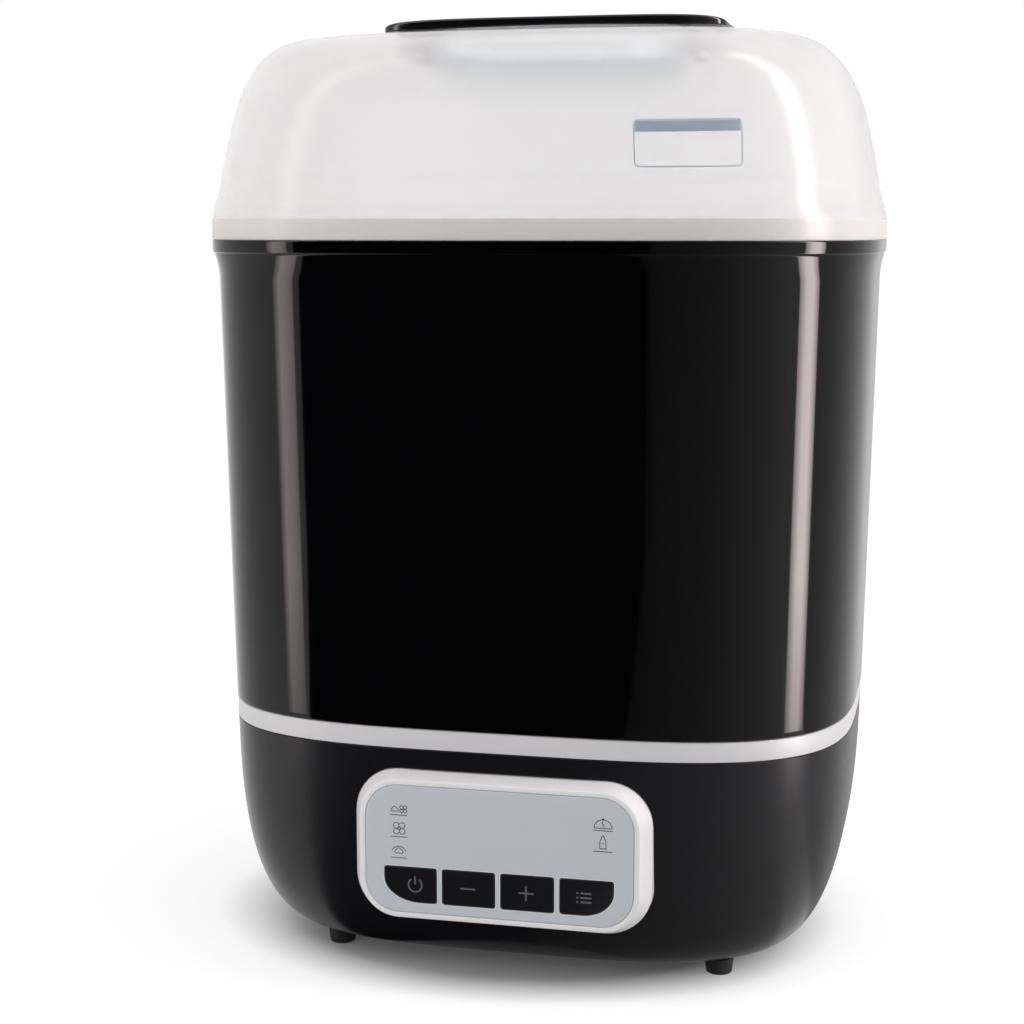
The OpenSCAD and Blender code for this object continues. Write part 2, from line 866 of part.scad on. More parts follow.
module impeller() {
    x0 = fan_in_x + impeller_gap;
    color(rack_white) difference() {
        union() {
            fan_axis(x0) cylinder(r = impeller_r, h = blade_ring_t);
            fan_axis(x0) cylinder(r = hub_r, h = impeller_w - hub_short);
            fan_axis(x0 + impeller_w - blade_ring_t) difference() {
                cylinder(r = impeller_r, h = blade_ring_t);
                translate([0, 0, -cut]) cylinder(r = impeller_r - blade_ring_w, h = blade_ring_t + 2 * cut);
            }
            for (i = [0 : blade_count - 1]) fan_axis(x0) rotate(360 * i / blade_count)
                translate([impeller_r - blade_l - blade_root, -blade_t / 2, 0])
                    cube([blade_l, blade_t, impeller_w]);
        }
        fan_axis(x0 - cut) cylinder(r = shaft_r + run_gap / 2, h = impeller_w + 2 * cut);
    }
}

module motor_screws() {
    color(steel) for (s = [-1, 1])
        translate([fan_in_x, s * motor_screw_r, fan_z]) rotate([0, -90, 0])
            screw(fan_plate_t + motor_screw_l, small_head_r, small_head_t);
}

module fan_screws() {
    color(steel) for (s = [-1, 1])
        translate([fan_back + fan_leg_l / 2, s * fan_leg_y, foot_h + base_wall / 2])
            screw(base_wall / 2 + fan_screw_l, screw_head_r, base_wall / 2);
}

module air_duct() {
    z0 = fan_z + throat_h;
    color(inner_grey) difference() {
        translate([0, 0, z0]) linear_extrude(deck_under - z0) passage(duct_wall);
        translate([0, 0, z0 - cut]) linear_extrude(duct_ledge_h + 2 * cut) passage(-duct_ledge);
        translate([0, 0, z0 + duct_ledge_h]) linear_extrude(deck_under - z0) passage(0);
    }
}

module air_heater() {
    depth = throat_out - throat_in;
    pitch = (fan_w - fin_t) / (fin_count - 1);
    color([0.75, 0.72, 0.65]) translate([fan_in_x, throat_in, fan_z + throat_h + duct_ledge_h]) {
        for (y = [0, depth / 2 - heater_bar / 2, depth - heater_bar])
            translate([0, y, 0]) cube([fan_w, heater_bar, air_heater_h]);
        for (i = [0 : fin_count - 1])
            translate([i * pitch, 0, 0]) cube([fin_t, depth, air_heater_h]);
    }
}

module vent_hood() {
    reach = duct_wall + hood_gap;
    hood_run = 2 * (reach + hood_wall + cut) + max(fan_w, throat_out - throat_in);
    color(pale) difference() {
        translate([0, 0, deck_floor]) linear_extrude(hood_h) passage(reach + hood_wall);
        translate([0, 0, deck_floor - cut]) linear_extrude(hood_h - hood_wall + cut) passage(reach);
        translate([fan_in_x + fan_w / 2, (throat_in + throat_out) / 2, deck_floor + hood_slot_z])
            linear_extrude(hood_slot_h) for (i = [-1 : 1]) {
                translate([i * hood_slot_pitch_x, 0]) square([hood_slot_w, hood_run], center = true);
                translate([0, i * hood_slot_pitch_y]) square([hood_run, hood_slot_w], center = true);
            }
    }
}

module filter_cover() {
    color(base_black) difference() {
        intersection() {
            bowl_solid();
            along_x(cage_x, rim_w / 2) filter_outline(-part_gap);
        }
        intersection() {
            bowl_hollow();
            along_x(cage_x + cage_bar, rim_w / 2) filter_outline(-part_gap - cage_wall);
        }
        along_x(cage_x - cut, cage_x + cage_bar + cut) translate([filter_y, filter_z])
            for (sy = [-1, 1], sz = [-1, 1])
                translate([sy * filter_w / 4, sz * filter_h / 4])
                    square([filter_w / 2 - cage_rib, filter_h / 2 - cage_rib], center = true);
        along_x(cage_x + cage_bar + filter_t + cut, rim_w / 2 + cut)
            for (i = [0 : louvre_count - 1])
                translate([filter_y, filter_z + (i - (louvre_count - 1) / 2) * louvre_pitch])
                    square([louvre_w, louvre_h], center = true);
    }
}

module filter_pad() {
    color([0.35, 0.36, 0.38]) along_x(cage_x + cage_bar, cage_x + cage_bar + filter_t)
        filter_outline(-part_gap - cage_wall - run_gap);
}

// Size of the bezel at a share of its slope, set out by grow: width, height and corner radius
function bezel_size(share, grow) = [
    bezel_front_w + 2 * (share * bezel_spread_x + grow),
    bezel_front_h + 2 * (share * bezel_spread_z + grow),
    bezel_front_r + share * bezel_spread_z + grow
];
module bezel_shape(share, grow) {
    size = bezel_size(share, grow);
    round_plate(size[0], size[1], size[2]);
}
function bezel_ring(share, grow, y) =
    let (size = bezel_size(share, grow))
    [for (p = round_ring(size[0], size[1], size[2])) [p.x, y, panel_z + p.y]];
module lens_shape(grow) {
    round_plate(lens_w + 2 * grow, lens_h + 2 * grow, lens_r + grow);
}
module board_posts() {
    for (sx = [-1, 1], sz = [-1, 1]) translate([sx * board_post_x, sz * board_post_z]) children();
}
function key_x(i) = (i - 1.5) * key_pitch;

// Flat shape of key i, with a larger radius at the panel's lower corners
module key_shape(i, grow) {
    corner = (i == 0) ? -1 : (i == 3) ? 1 : 0;
    w = key_w + 2 * grow;
    h = key_h + 2 * grow;
    translate([key_x(i), -key_drop]) difference() {
        round_plate(w, h, key_r);
        if (corner != 0) translate([corner * (w / 2 - key_corner_r), -(h / 2 - key_corner_r)]) difference() {
            translate([corner * (key_corner_r / 2 + cut), -key_corner_r / 2 - cut])
                square([key_corner_r + 2 * cut, key_corner_r + 2 * cut], center = true);
            circle(key_corner_r);
        }
    }
}

module bezel() {
    color(pale) difference() {
        union() {
            difference() {
                capped_skin([
                    bezel_ring(1, 0, panel_y + bezel_depth),
                    bezel_ring(1, 0, panel_y + bezel_slope),
                    bezel_ring(bezel_edge / bezel_slope, 0, panel_y + bezel_edge),
                    bezel_ring(0, -bezel_edge / 2, panel_y)
                ]);
                towards_front(panel_y + bezel_depth + cut, guide_back) bezel_shape(1, -bezel_wall);
            }
            towards_front(board_y, guide_back - guide_t / 2) board_posts() circle(board_post_r);
        }
        towards_front(lens_back, panel_y - cut) lens_shape(part_gap / 2);
        towards_front(guide_back + cut, lens_back - cut) translate([0, display_rise])
            square([display_w + 2 * display_gap, display_h + 2 * display_gap], center = true);
        towards_front(guide_y, lens_back - cut) translate([0, -key_drop])
            square([3 * key_pitch + key_w + 4 * key_flange, key_h + 4 * key_flange], center = true);
        for (i = [0 : 3]) towards_front(guide_back + cut, guide_y - cut)
            translate([key_x(i), -key_drop]) circle(stem_r + run_gap);
        towards_front(board_y + cut, board_y - board_screw_l) board_posts() circle(screw_r + run_gap);
    }
}

module panel_lens() {
    color([0.72, 0.75, 0.78]) towards_front(lens_back, panel_y) difference() {
        lens_shape(0);
        for (i = [0 : 3]) key_shape(i, part_gap);
    }
}

module key_cap(i) {
    color(key_black) {
        towards_front(lens_back + key_flange_gap, panel_y - key_proud) key_shape(i, 0);
        towards_front(lens_back + key_flange_gap + key_flange_t, lens_back + key_flange_gap)
            key_shape(i, key_flange);
        towards_front(stem_end, lens_back) translate([key_x(i), -key_drop]) circle(stem_r);
    }
}
module key_power() { key_cap(0); }
module key_minus() { key_cap(1); }
module key_plus() { key_cap(2); }
module key_menu() { key_cap(3); }

module display_module() {
    color([0.88, 0.9, 0.92]) towards_front(board_y, lens_back + key_flange_gap) translate([0, display_rise])
        square([display_w, display_h], center = true);
}

module control_board() {
    color(board_green) towards_front(board_y + board_t, board_y) difference() {
        bezel_shape(1, -bezel_wall - board_gap);
        board_posts() circle(hole_r);
    }
}

module key_switches() {
    color(inner_grey) for (i = [0 : 3]) {
        towards_front(board_y, board_y - switch_h) translate([key_x(i), -key_drop])
            square([switch_w, switch_w], center = true);
        towards_front(board_y - switch_h, board_y - switch_h - plunger_h) translate([key_x(i), -key_drop])
            circle(plunger_r);
    }
}

module control_screws() {
    color(steel) {
        towards_front(board_y + board_t + small_head_t, board_y + board_t)
            board_posts() circle(small_head_r);
        towards_front(board_y + board_t, board_y + cut - board_screw_l)
            board_posts() circle(screw_r);
    }
}

module power_board() {
    color([0.45, 0.35, 0.12]) translate([power_x, 0, power_z]) linear_extrude(board_t) difference() {
        square([power_w, power_w], center = true);
        for (sx = [-1, 1], sy = [-1, 1]) translate([sx * standoff, sy * standoff]) circle(hole_r);
    }
}

module on_power_board(place) {
    translate([power_x + place.x, place.y, power_z + board_t]) children();
}
module relay() {
    color([0.1, 0.3, 0.6]) on_power_board(relay_place) cube(relay_size);
}
module transformer() {
    color([0.75, 0.65, 0.2]) on_power_board(transformer_place) cube(transformer_size);
}
module capacitor() {
    color([0.2, 0.2, 0.5]) on_power_board(capacitor_place) cylinder(r = capacitor_r, h = capacitor_h);
}
module terminal_block() {
    color([0.2, 0.5, 0.3]) on_power_board(terminal_place) cube(terminal_size);
}
module power_screws() {
    color(steel) translate([power_x, 0, power_z + board_t]) at_corners(standoff, standoff)
        mirror([0, 0, 1]) screw(power_screw_l, small_head_r, small_head_t);
}

module cord_gland() {
    color(rubber_black) gland_axis() difference() {
        union() {
            translate([0, 0, -gland_flange_t]) cylinder(r = gland_flange_r, h = gland_flange_t);
            cylinder(r = gland_r, h = gland_l);
        }
        translate([0, 0, -gland_flange_t - cut])
            cylinder(r = gland_bore_r, h = gland_l + gland_flange_t + 2 * cut);
    }
}

module gland_nut() {
    color(rubber_black) gland_axis() translate([0, 0, gland_seat_l]) difference() {
        cylinder(r = gland_flange_r, h = gland_nut_t, $fn = 6);
        translate([0, 0, -cut]) cylinder(r = gland_r + run_gap, h = gland_nut_t + 2 * cut);
    }
}

// Chamber: a tapered wall with a flared rim, a ledge for the tray and a ledge for the rack
function body_inset(z) =
    flare_out + body_lean * (seam_z - flare_h - z) / (body_h - flare_h);
module chamber() {
    flare_z = seam_z - flare_h;
    flare_top = seam_z - rim_face;
    bead_z = tray_ledge_z - bead_h;
    outer = concat(
        [even_ring(body_bottom_inset + body_roll, band_top),
         even_ring(body_bottom_inset, band_top + body_roll)],
        [for (k = [0 : flare_steps])
            let (v = k / flare_steps)
            even_ring(flare_out * (1 - ease(v)), flare_z + (flare_top - flare_z) * v)],
        [even_ring(0, seam_z - rim_edge), even_ring(rim_edge, seam_z)]);
    inner = [
        even_ring(rim_inner, seam_z), even_ring(rim_inner, tray_ledge_z),
        even_ring(bead_inner, tray_ledge_z), even_ring(bead_inner, tray_ledge_z - bead_edge),
        even_ring(body_inset(bead_z) + body_wall, bead_z),
        even_ring(body_inset(ledge_z) + body_wall, ledge_z),
        even_ring(ledge_inset, ledge_z), even_ring(ledge_inset, band_top)
    ];
    color(gloss_black) hoop_skin(concat(outer, inner));
}

// Bottle rack: a slotted floor, six bottle posts with seats, and a lifting post
module bottle_post() {
    for (a = [0, 90]) rotate(a) rotate([90, 0, 0]) translate([0, 0, -post_fin_t / 2])
        linear_extrude(post_fin_t) {
            polygon([[-post_foot_w / 2, 0], [post_foot_w / 2, 0],
                [post_tip_w / 2, post_h - post_fin_t], [-post_tip_w / 2, post_h - post_fin_t]]);
            for (s = [-1, 1]) translate([s * (post_tip_w / 2 - post_fin_t), post_h - post_fin_t])
                circle(post_fin_t);
            translate([-post_tip_w / 2 + post_fin_t, post_h - post_fin_t])
                square([post_tip_w - 2 * post_fin_t, post_fin_t]);
        }
    difference() {
        cylinder(r = seat_r + seat_t, h = seat_h);
        translate([0, 0, -cut]) cylinder(r = seat_r, h = seat_h + 2 * cut);
    }
}

module bottle_rack() {
    slots_x = floor((rim_w / 2 - rack_inset - rack_margin) / rack_slot_pitch);
    lift_h = tray_floor - rack_top - lift_gap;
    color(rack_white) {
        translate([0, 0, ledge_z]) linear_extrude(rack_t) difference() {
            polygon(flat_ring(rack_inset));
            for (i = [-slots_x : slots_x], s = [-1, 1])
                translate([i * rack_slot_pitch, s * rack_slot_y]) slot(rack_slot_w, rack_slot_l);
        }
        for (i = [-1 : 1], s = [-1, 1])
            translate([i * post_pitch_x, s * post_pitch_y / 2, rack_top - post_root]) bottle_post();
        translate([0, 0, rack_top - post_root]) cylinder(r = lift_r, h = lift_h);
        translate([0, 0, rack_top + lift_h - lift_knob_h]) rotate_extrude() polygon([
            [0, 0], [lift_r, 0], [lift_knob_r, lift_knob_cone], [lift_knob_r, lift_knob_h - lift_knob_edge],
            [lift_knob_r - lift_knob_edge, lift_knob_h], [0, lift_knob_h]
        ]);
    }
}

module accessory_tray() {
    flange_top = tray_ledge_z + tray_flange_t;
    slots_x = floor((rim_w / 2 - tray_wall_inset - tray_margin) / tray_slot_pitch);
    color(rack_white) {
        plan_wall(tray_flange_inset, tray_wall_inset + tray_wall, tray_ledge_z, flange_top);
        plan_wall(tray_wall_inset, tray_wall_inset + tray_wall, tray_floor, tray_ledge_z);
        translate([0, 0, tray_floor]) linear_extrude(tray_floor_t) difference() {
            polygon(flat_ring(tray_wall_inset + tray_wall));
            for (i = [-slots_x : slots_x], s = [-1, 1])
                translate([i * tray_slot_pitch, s * tray_slot_y]) slot(tray_slot_w, tray_slot_l);
        }
        intersection() {
            plan_plate(tray_wall_inset + tray_wall / 2, tray_floor + tray_floor_t / 2,
                tray_floor + tray_floor_t + divider_h);
            for (s = [-1, 1]) translate([s * divider_x - divider_t / 2, -rim_d / 2, 0])
                cube([divider_t, rim_d, seam_z]);
        }
    }
}

// Lid: its rings run down the inside, round the rim, over the outside and into the well's mouth.
function dome_ring(wall, slack, phi) =
    let (u = edge_rise(phi, dome_power))
    let (c = edge_reach(phi, dome_power))
    plan_ring(sweep_in + wall + dome_lean * u + (dome_round_x - slack) * c,
        sweep_in + wall + dome_lean * u + (dome_round_y - slack) * c, dome_z + (dome_h - wall) * u);
function well_ring(step, z) = plan_ring(crown_x + step, crown_y + step, z);
module lid_shell() {
    inner = concat(
        [for (k = [dome_steps : -1 : 0]) dome_ring(lid_wall, lid_wall + crown_slack, 90 * k / dome_steps)],
        [even_ring(lip_in, lip_z)]);
    rim = [
        even_ring(lip_inset, lip_z), even_ring(lip_inset, seam_z), even_ring(rim_edge / 2, seam_z),
        even_ring(0, seam_z + rim_edge), even_ring(rim_edge / 2, seam_z + skirt_h)
    ];
    outer = concat(
        [for (k = [1 : flare_steps - 1])
            let (v = k / flare_steps)
            even_ring(rim_edge / 2 + (sweep_in - rim_edge / 2) * ease(v), seam_z + skirt_h + sweep_h * v)],
        [for (k = [0 : dome_steps]) dome_ring(0, 0, 90 * k / dome_steps)],
        [well_ring(well_edge / 2, lid_top - well_edge / 4), well_ring(well_edge, well_top),
         well_ring(well_out, well_top), well_ring(well_out, lid_top - lid_wall)]);
    color(lid_frost) difference() {
        union() {
            hoop_skin(concat(inner, rim, outer));
            at_corners(pad_x, pad_y) translate([0, 0, lid_top - pad_t])
                cylinder(r = pad_r, h = pad_t + pad_rise);
        }
        at_corners(pad_x, pad_y) translate([0, 0, lid_top - pad_t - cut])
            cylinder(r = hole_r, h = pad_t + pad_rise + 2 * cut);
    }
}

// Finger well, welded to the crown round its mouth
module lid_well() {
    color(lid_frost) difference() {
        capped_skin([
            well_ring(well_edge + well_draft + well_fillet - lid_wall / 2, well_z - lid_wall),
            well_ring(well_out + well_draft, well_z + well_fillet - lid_wall),
            well_ring(well_out, well_top),
            well_ring(well_edge, well_top),
            well_ring(well_edge + well_draft, well_z + well_fillet),
            well_ring(well_edge + well_draft + well_fillet, well_z)
        ]);
        translate([0, 0, well_z - lid_wall - cut]) linear_extrude(lid_wall + 2 * cut)
            for (i = [0 : well_slot_count - 1])
                translate([(i - (well_slot_count - 1) / 2) * well_slot_pitch, 0])
                    slot(well_slot_w, well_slot_l);
    }
}

// Height of a rounded end's profile at a share s of its half length
function end_share(s) = pow(1 - pow(abs(s), grip_end_power), 1 / grip_end_power);
module lid_grip() {
    half = grip_l / 2;
    side = concat(
        [for (k = [-grip_steps : grip_steps])
            let (s = sin(90 * k / grip_steps))
            [-half * s, grip_t * end_share(s)]],
        [for (k = [-grip_steps : grip_steps])
            let (s = k / grip_steps)
            [(pad_x - pad_r) * s, grip_arch * (1 - s * s)]]);
    color(gloss_black) difference() {
        intersection() {
            translate([0, grip_w / 2, grip_z]) rotate([90, 0, 0]) linear_extrude(grip_w) polygon(side);
            translate([0, 0, grip_z - cut]) linear_extrude(grip_t + 2 * cut) polygon([
                for (k = [0 : 4 * grip_steps - 1])
                    let (t = 90 * k / grip_steps)
                    let (e = 2 / grip_plan_power)
                    [half * signed_power(cos(t), e), grip_w / 2 * signed_power(sin(t), e)]
            ]);
        }
        at_corners(pad_x, pad_y) translate([0, 0, grip_z - cut])
            pilot(grip_screw_l - pad_t - pad_rise + cut + part_gap);
    }
}

module grip_screws() {
    color(steel) at_corners(pad_x, pad_y) translate([0, 0, lid_top - pad_t]) screw(grip_screw_l);
}

base_shell();
foot_front_left();
foot_front_right();
foot_rear_left();
foot_rear_right();
deck();
deck_rim();
base_screws();
heating_plate();
plate_seal();
heating_element();
plate_clamps();
clamp_screws();
control_thermostat();
safety_thermostat();
temperature_sensor();
fan_scroll();
fan_cover();
fan_motor();
fan_shaft();
impeller();
motor_screws();
fan_screws();
air_duct();
air_heater();
vent_hood();
filter_cover();
filter_pad();
bezel();
panel_lens();
key_power();
key_minus();
key_plus();
key_menu();
display_module();
control_board();
key_switches();
control_screws();
power_board();
relay();
transformer();
capacitor();
terminal_block();
power_screws();
cord_gland();
gland_nut();
chamber();
bottle_rack();
accessory_tray();
lid_shell();
lid_well();
lid_grip();
grip_screws();
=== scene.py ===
import bpy
import math
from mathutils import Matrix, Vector


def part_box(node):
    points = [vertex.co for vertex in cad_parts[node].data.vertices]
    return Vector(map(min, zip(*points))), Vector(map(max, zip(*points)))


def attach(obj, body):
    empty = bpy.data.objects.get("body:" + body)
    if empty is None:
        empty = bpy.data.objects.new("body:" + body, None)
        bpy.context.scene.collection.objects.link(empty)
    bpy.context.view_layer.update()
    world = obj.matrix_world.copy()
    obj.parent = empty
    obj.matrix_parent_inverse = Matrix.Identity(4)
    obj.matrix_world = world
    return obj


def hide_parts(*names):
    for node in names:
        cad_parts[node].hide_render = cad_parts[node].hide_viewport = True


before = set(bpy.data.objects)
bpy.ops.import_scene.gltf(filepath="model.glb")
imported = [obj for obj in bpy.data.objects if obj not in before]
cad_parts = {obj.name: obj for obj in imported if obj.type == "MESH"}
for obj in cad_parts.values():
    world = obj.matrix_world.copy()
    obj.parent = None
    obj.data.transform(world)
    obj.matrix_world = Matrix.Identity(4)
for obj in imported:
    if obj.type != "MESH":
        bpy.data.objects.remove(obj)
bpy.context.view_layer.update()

# Sizes in millimetres, read from the solids where they give them
MM = 0.001


def span(node):
    """Lowest and highest corner of a solid, in millimetres."""
    low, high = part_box(node)
    return low / MM, high / MM


chamber_low, chamber_high = span("chamber")
lens_low, lens_high = span("panel_lens")
grip_low, grip_high = span("lid_grip")
door_low, door_high = span("filter_cover")

RIM_X, RIM_Y = chamber_high.x, chamber_high.y
PLAN_POWER = 3.65
SEAM = chamber_high.z
BAND_TOP = chamber_low.z
BASE_TOP = BAND_TOP - 8
FOOT_H = 6.5
BASE_H = BASE_TOP - FOOT_H
DECK_UNDER = BASE_TOP - 7.5
DECK_FLOOR = DECK_UNDER + 2.5
LID_TOP = SEAM + 80
LID_WALL = 2.2
SKIRT_H = 8
SWEEP_H = 16
SWEEP_IN = 3.6
DOME_Z = SEAM + SKIRT_H + SWEEP_H
DOME_H = LID_TOP - DOME_Z
DOME_LEAN = 11
DOME_ROUND_X, DOME_ROUND_Y = 38, 44
WELL_Z = LID_TOP - 20
WELL_EDGE = 2.5
CROWN_X, CROWN_Y = 84.3, 66.3
PAD_X, PAD_Y, PAD_R = 59.5, 10, 7
PANEL_Y = lens_low.y
PANEL_Z = (lens_low.z + lens_high.z) / 2
LENS_W = lens_high.x - lens_low.x
LENS_H = lens_high.z - lens_low.z
LENS_BACK = lens_high.y
KEY_XS = [-34.8, -11.6, 11.6, 34.8]
KEY_W, KEY_H = 20.7, 13.8
KEY_DROP = -14.1
KEY_STEM = 1.6
KEY_NODES = ["key_power", "key_minus", "key_plus", "key_menu"]
KEY_BODIES = ["power_key", "minus_key", "plus_key", "menu_key"]
KEY_Z = PANEL_Z + KEY_DROP
KEY_FACE = -RIM_Y + 0.03
KEY_PRINT = -RIM_Y + 0.01
PANEL_PRINT = PANEL_Y - 0.02
FIT = 0.6
POSTS = [(66, -52), (66, 52), (-66, -52), (-66, 52)]
SQUARE = [(-1, -1), (1, -1), (1, 1), (-1, 1)]
ROUND = 192


# Shapes

def even_steps(points, count):
    """count points spaced evenly along a run of points."""
    reach = [0.0]
    for a, b in zip(points, points[1:]):
        reach.append(reach[-1] + math.dist(a, b))
    made, k = [], 0
    for i in range(count):
        goal = reach[-1] * i / (count - 1)
        while k < len(points) - 2 and reach[k + 1] < goal:
            k += 1
        gap = reach[k + 1] - reach[k]
        share = (goal - reach[k]) / gap if gap else 0
        made.append(tuple(p + (q - p) * share for p, q in zip(points[k], points[k + 1])))
    return made


def plan_outline():
    """Unit points of the rounded plan outline, spaced evenly round it."""
    e = 2 / PLAN_POWER
    fine = []
    for i in range(6001):
        t = math.pi / 4 * (1 - math.cos(math.pi * i / 6000))
        fine.append((RIM_X * math.cos(t) ** e if i < 6000 else 0.0, RIM_Y * math.sin(t) ** e))
    quarter = [(x / RIM_X, y / RIM_Y) for x, y in even_steps(fine, ROUND // 4 + 1)]
    quarter[0], quarter[-1] = (1.0, 0.0), (0.0, 1.0)
    left = [(-x, y) for x, y in reversed(quarter)]
    upper = quarter[:-1] + left[:-1]
    return upper + [(-x, -y) for x, y in upper]


PLAN = plan_outline()


def plan_ring(inset_x, inset_y, z):
    return [((RIM_X - inset_x) * x, (RIM_Y - inset_y) * y, z) for x, y in PLAN]


def plan_rings(profile):
    return [plan_ring(d, d, z) for d, z in profile]


def circle(radius, middle=(0, 0), steps=64):
    turn = 2 * math.pi / steps
    return [(middle[0] + radius * math.cos(i * turn), middle[1] + radius * math.sin(i * turn))
            for i in range(steps)]


def circle_rings(profile, middle, steps):
    return [[(x, y, z) for x, y in circle(r, middle, steps)] for r, z in profile]


def rounded(corners, closed=False, steps=5):
    """Profile of (across, up, radius) corners, with an arc at each corner that has a radius."""
    made = []
    n = len(corners)
    for i, (x, y, r) in enumerate(corners):
        if r <= 0 or (not closed and i in (0, n - 1)):
            made.append((x, y))
            continue
        p = Vector((x, y))
        back = Vector(corners[i - 1][:2]) - p
        ahead = Vector(corners[(i + 1) % n][:2]) - p
        reach = 0.48 * min(back.length, ahead.length)
        back.normalize()
        ahead.normalize()
        half = back.angle(ahead) / 2
        if half > math.radians(89):
            made.append((x, y))
            continue
        run = min(r / math.tan(half), reach)
        r = run * math.tan(half)
        middle = p + (back + ahead).normalized() * (r / math.sin(half))
        start, stop = p + back * run - middle, p + ahead * run - middle
        a0 = math.atan2(start.y, start.x)
        swing = math.atan2(stop.y, stop.x) - a0
        swing = (swing + math.pi) % (2 * math.pi) - math.pi
        for k in range(steps + 1):
            a = a0 + swing * k / steps
            made.append((middle.x + r * math.cos(a), middle.y + r * math.sin(a)))
    return made


def skin(rings, closed=False):
    """Corners and faces of rings joined in order: closed to the first ring, or else capped at both ends."""
    n, m = len(rings[0]), len(rings)
    corners = [p for ring in rings for p in ring]
    faces = []
    for i in range(m if closed else m - 1):
        a, b = i * n, (i + 1) % m * n
        for j in range(n):
            k = (j + 1) % n
            faces.append((a + j, a + k, b + k, b + j))
    if not closed:
        faces += [tuple(range(n - 1, -1, -1)), tuple((m - 1) * n + j for j in range(n))]
    return corners, faces


def joined(*shapes):
    """Several shapes as one."""
    corners, faces = [], []
    for some_corners, some_faces in shapes:
        start = len(corners)
        corners += some_corners
        faces += [tuple(start + i for i in f) for f in some_faces]
    return corners, faces


def block(low, high):
    (x0, y0, z0), (x1, y1, z1) = low, high
    return upright([(x0, y0), (x1, y0), (x1, y1), (x0, y1)], z0, z1)


def round_outline(w, h, radii, steps=10):
    """Flat rounded rectangle; radii at its right top, left top, left bottom and right bottom."""
    points = []
    for c, (sx, sy) in enumerate([(1, 1), (-1, 1), (-1, -1), (1, -1)]):
        rx, ry = radii[c] if isinstance(radii[c], tuple) else (radii[c], radii[c])
        for s in range(steps + 1):
            t = math.pi / 2 * (c + s / steps)
            points.append((sx * (w / 2 - rx) + rx * math.cos(t), sy * (h / 2 - ry) + ry * math.sin(t)))
    return points


def panel_ring(w, h, radii, y, middle=(0, 0)):
    """Rounded rectangle that faces the front, placed from the panel's middle."""
    return [(middle[0] + x, y, PANEL_Z + middle[1] + z) for x, z in round_outline(w, h, radii)]


def side_ring(w, h, r, x, middle):
    """Rounded rectangle that faces the right side."""
    return [(x, middle[0] + y, middle[1] + z) for y, z in round_outline(w, h, [r] * 4)]


def slot_outline(x, y, w, l, steps=8):
    """Flat slot with round ends, its length along Y."""
    points = []
    for s, start in ((1, 0), (-1, math.pi)):
        for k in range(steps + 1):
            t = start + math.pi * k / steps
            points.append((x + w / 2 * math.cos(t), y + s * (l - w) / 2 + w / 2 * math.sin(t)))
    return points


def upright(outline, z0, z1):
    """Flat outline drawn up from z0 to z1."""
    return skin([[(x, y, z) for x, y in outline] for z in (z0, z1)])


# Pieces

def make_mesh(name, shape):
    mesh = bpy.data.meshes.new(name)
    mesh.from_pydata([(x * MM, y * MM, z * MM) for x, y, z in shape[0]], [], shape[1])
    mesh.update()
    return mesh


def make_piece(name, shape, finish, body, nodes=(), crease=40):
    piece = bpy.data.objects.new(name, make_mesh(name, shape))
    bpy.context.scene.collection.objects.link(piece)
    piece.data.materials.append(finish)
    settle(piece, crease)
    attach(piece, body)
    if nodes:
        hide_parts(*nodes)
    return piece


def settle(piece, crease=40):
    """Smooth shading with creases at the sharper edges."""
    mesh = piece.data
    mesh.polygons.foreach_set("use_smooth", [True] * len(mesh.polygons))
    mesh.set_sharp_from_angle(angle=math.radians(crease))


def carve(piece, shape, operation="DIFFERENCE", crease=40):
    """Cut a piece by a shape and keep the result as its mesh."""
    tool = bpy.data.objects.new("carving_tool", make_mesh("carving_tool", shape))
    bpy.context.scene.collection.objects.link(tool)
    step = piece.modifiers.new("carve", "BOOLEAN")
    step.object = tool
    step.operation = operation
    step.solver = "EXACT"
    graph = bpy.context.evaluated_depsgraph_get()
    carved = bpy.data.meshes.new_from_object(piece.evaluated_get(graph))
    piece.modifiers.clear()
    old, tool_mesh = piece.data, tool.data
    piece.data = carved
    carved.name = piece.name
    bpy.data.meshes.remove(old)
    bpy.data.objects.remove(tool)
    bpy.data.meshes.remove(tool_mesh)
    settle(piece, crease)


# Finishes

def srgb(r, g, b):
    """Linear colour of a colour given in 0 to 255 display values."""
    def one(v):
        v /= 255
        return v / 12.92 if v <= 0.04045 else ((v + 0.055) / 1.055) ** 2.4
    return one(r), one(g), one(b), 1.0


def new_group(name, inputs, outputs):
    group = bpy.data.node_groups.new(name, "ShaderNodeTree")
    for label, value in inputs:
        group.interface.new_socket(label, in_out="INPUT", socket_type="NodeSocketFloat").default_value = value
    for label in outputs:
        group.interface.new_socket(label, in_out="OUTPUT", socket_type="NodeSocketFloat")
    return group, group.nodes.new("NodeGroupInput"), group.nodes.new("NodeGroupOutput")


def add(tree, kind, **values):
    """New node; each value goes to the input of that name, or else to the node's own setting."""
    node = tree.nodes.new(kind)
    for key, value in values.items():
        label = key.replace("_", " ")
        if label in node.inputs:
            node.inputs[label].default_value = value
        else:
            setattr(node, key, value)
    return node


def wire(tree, *pairs):
    for source, target in pairs:
        tree.links.new(source, target)


def place_group(tree, group, **values):
    return add(tree, "ShaderNodeGroup", node_tree=group, **values)


def mixed(tree, mask, first, second):
    """Colour that goes from first to second with a mask."""
    mix = add(tree, "ShaderNodeMix", data_type="RGBA")
    mix.inputs[6].default_value = first
    mix.inputs[7].default_value = second
    wire(tree, (mask, mix.inputs[0]))
    return mix.outputs[2]


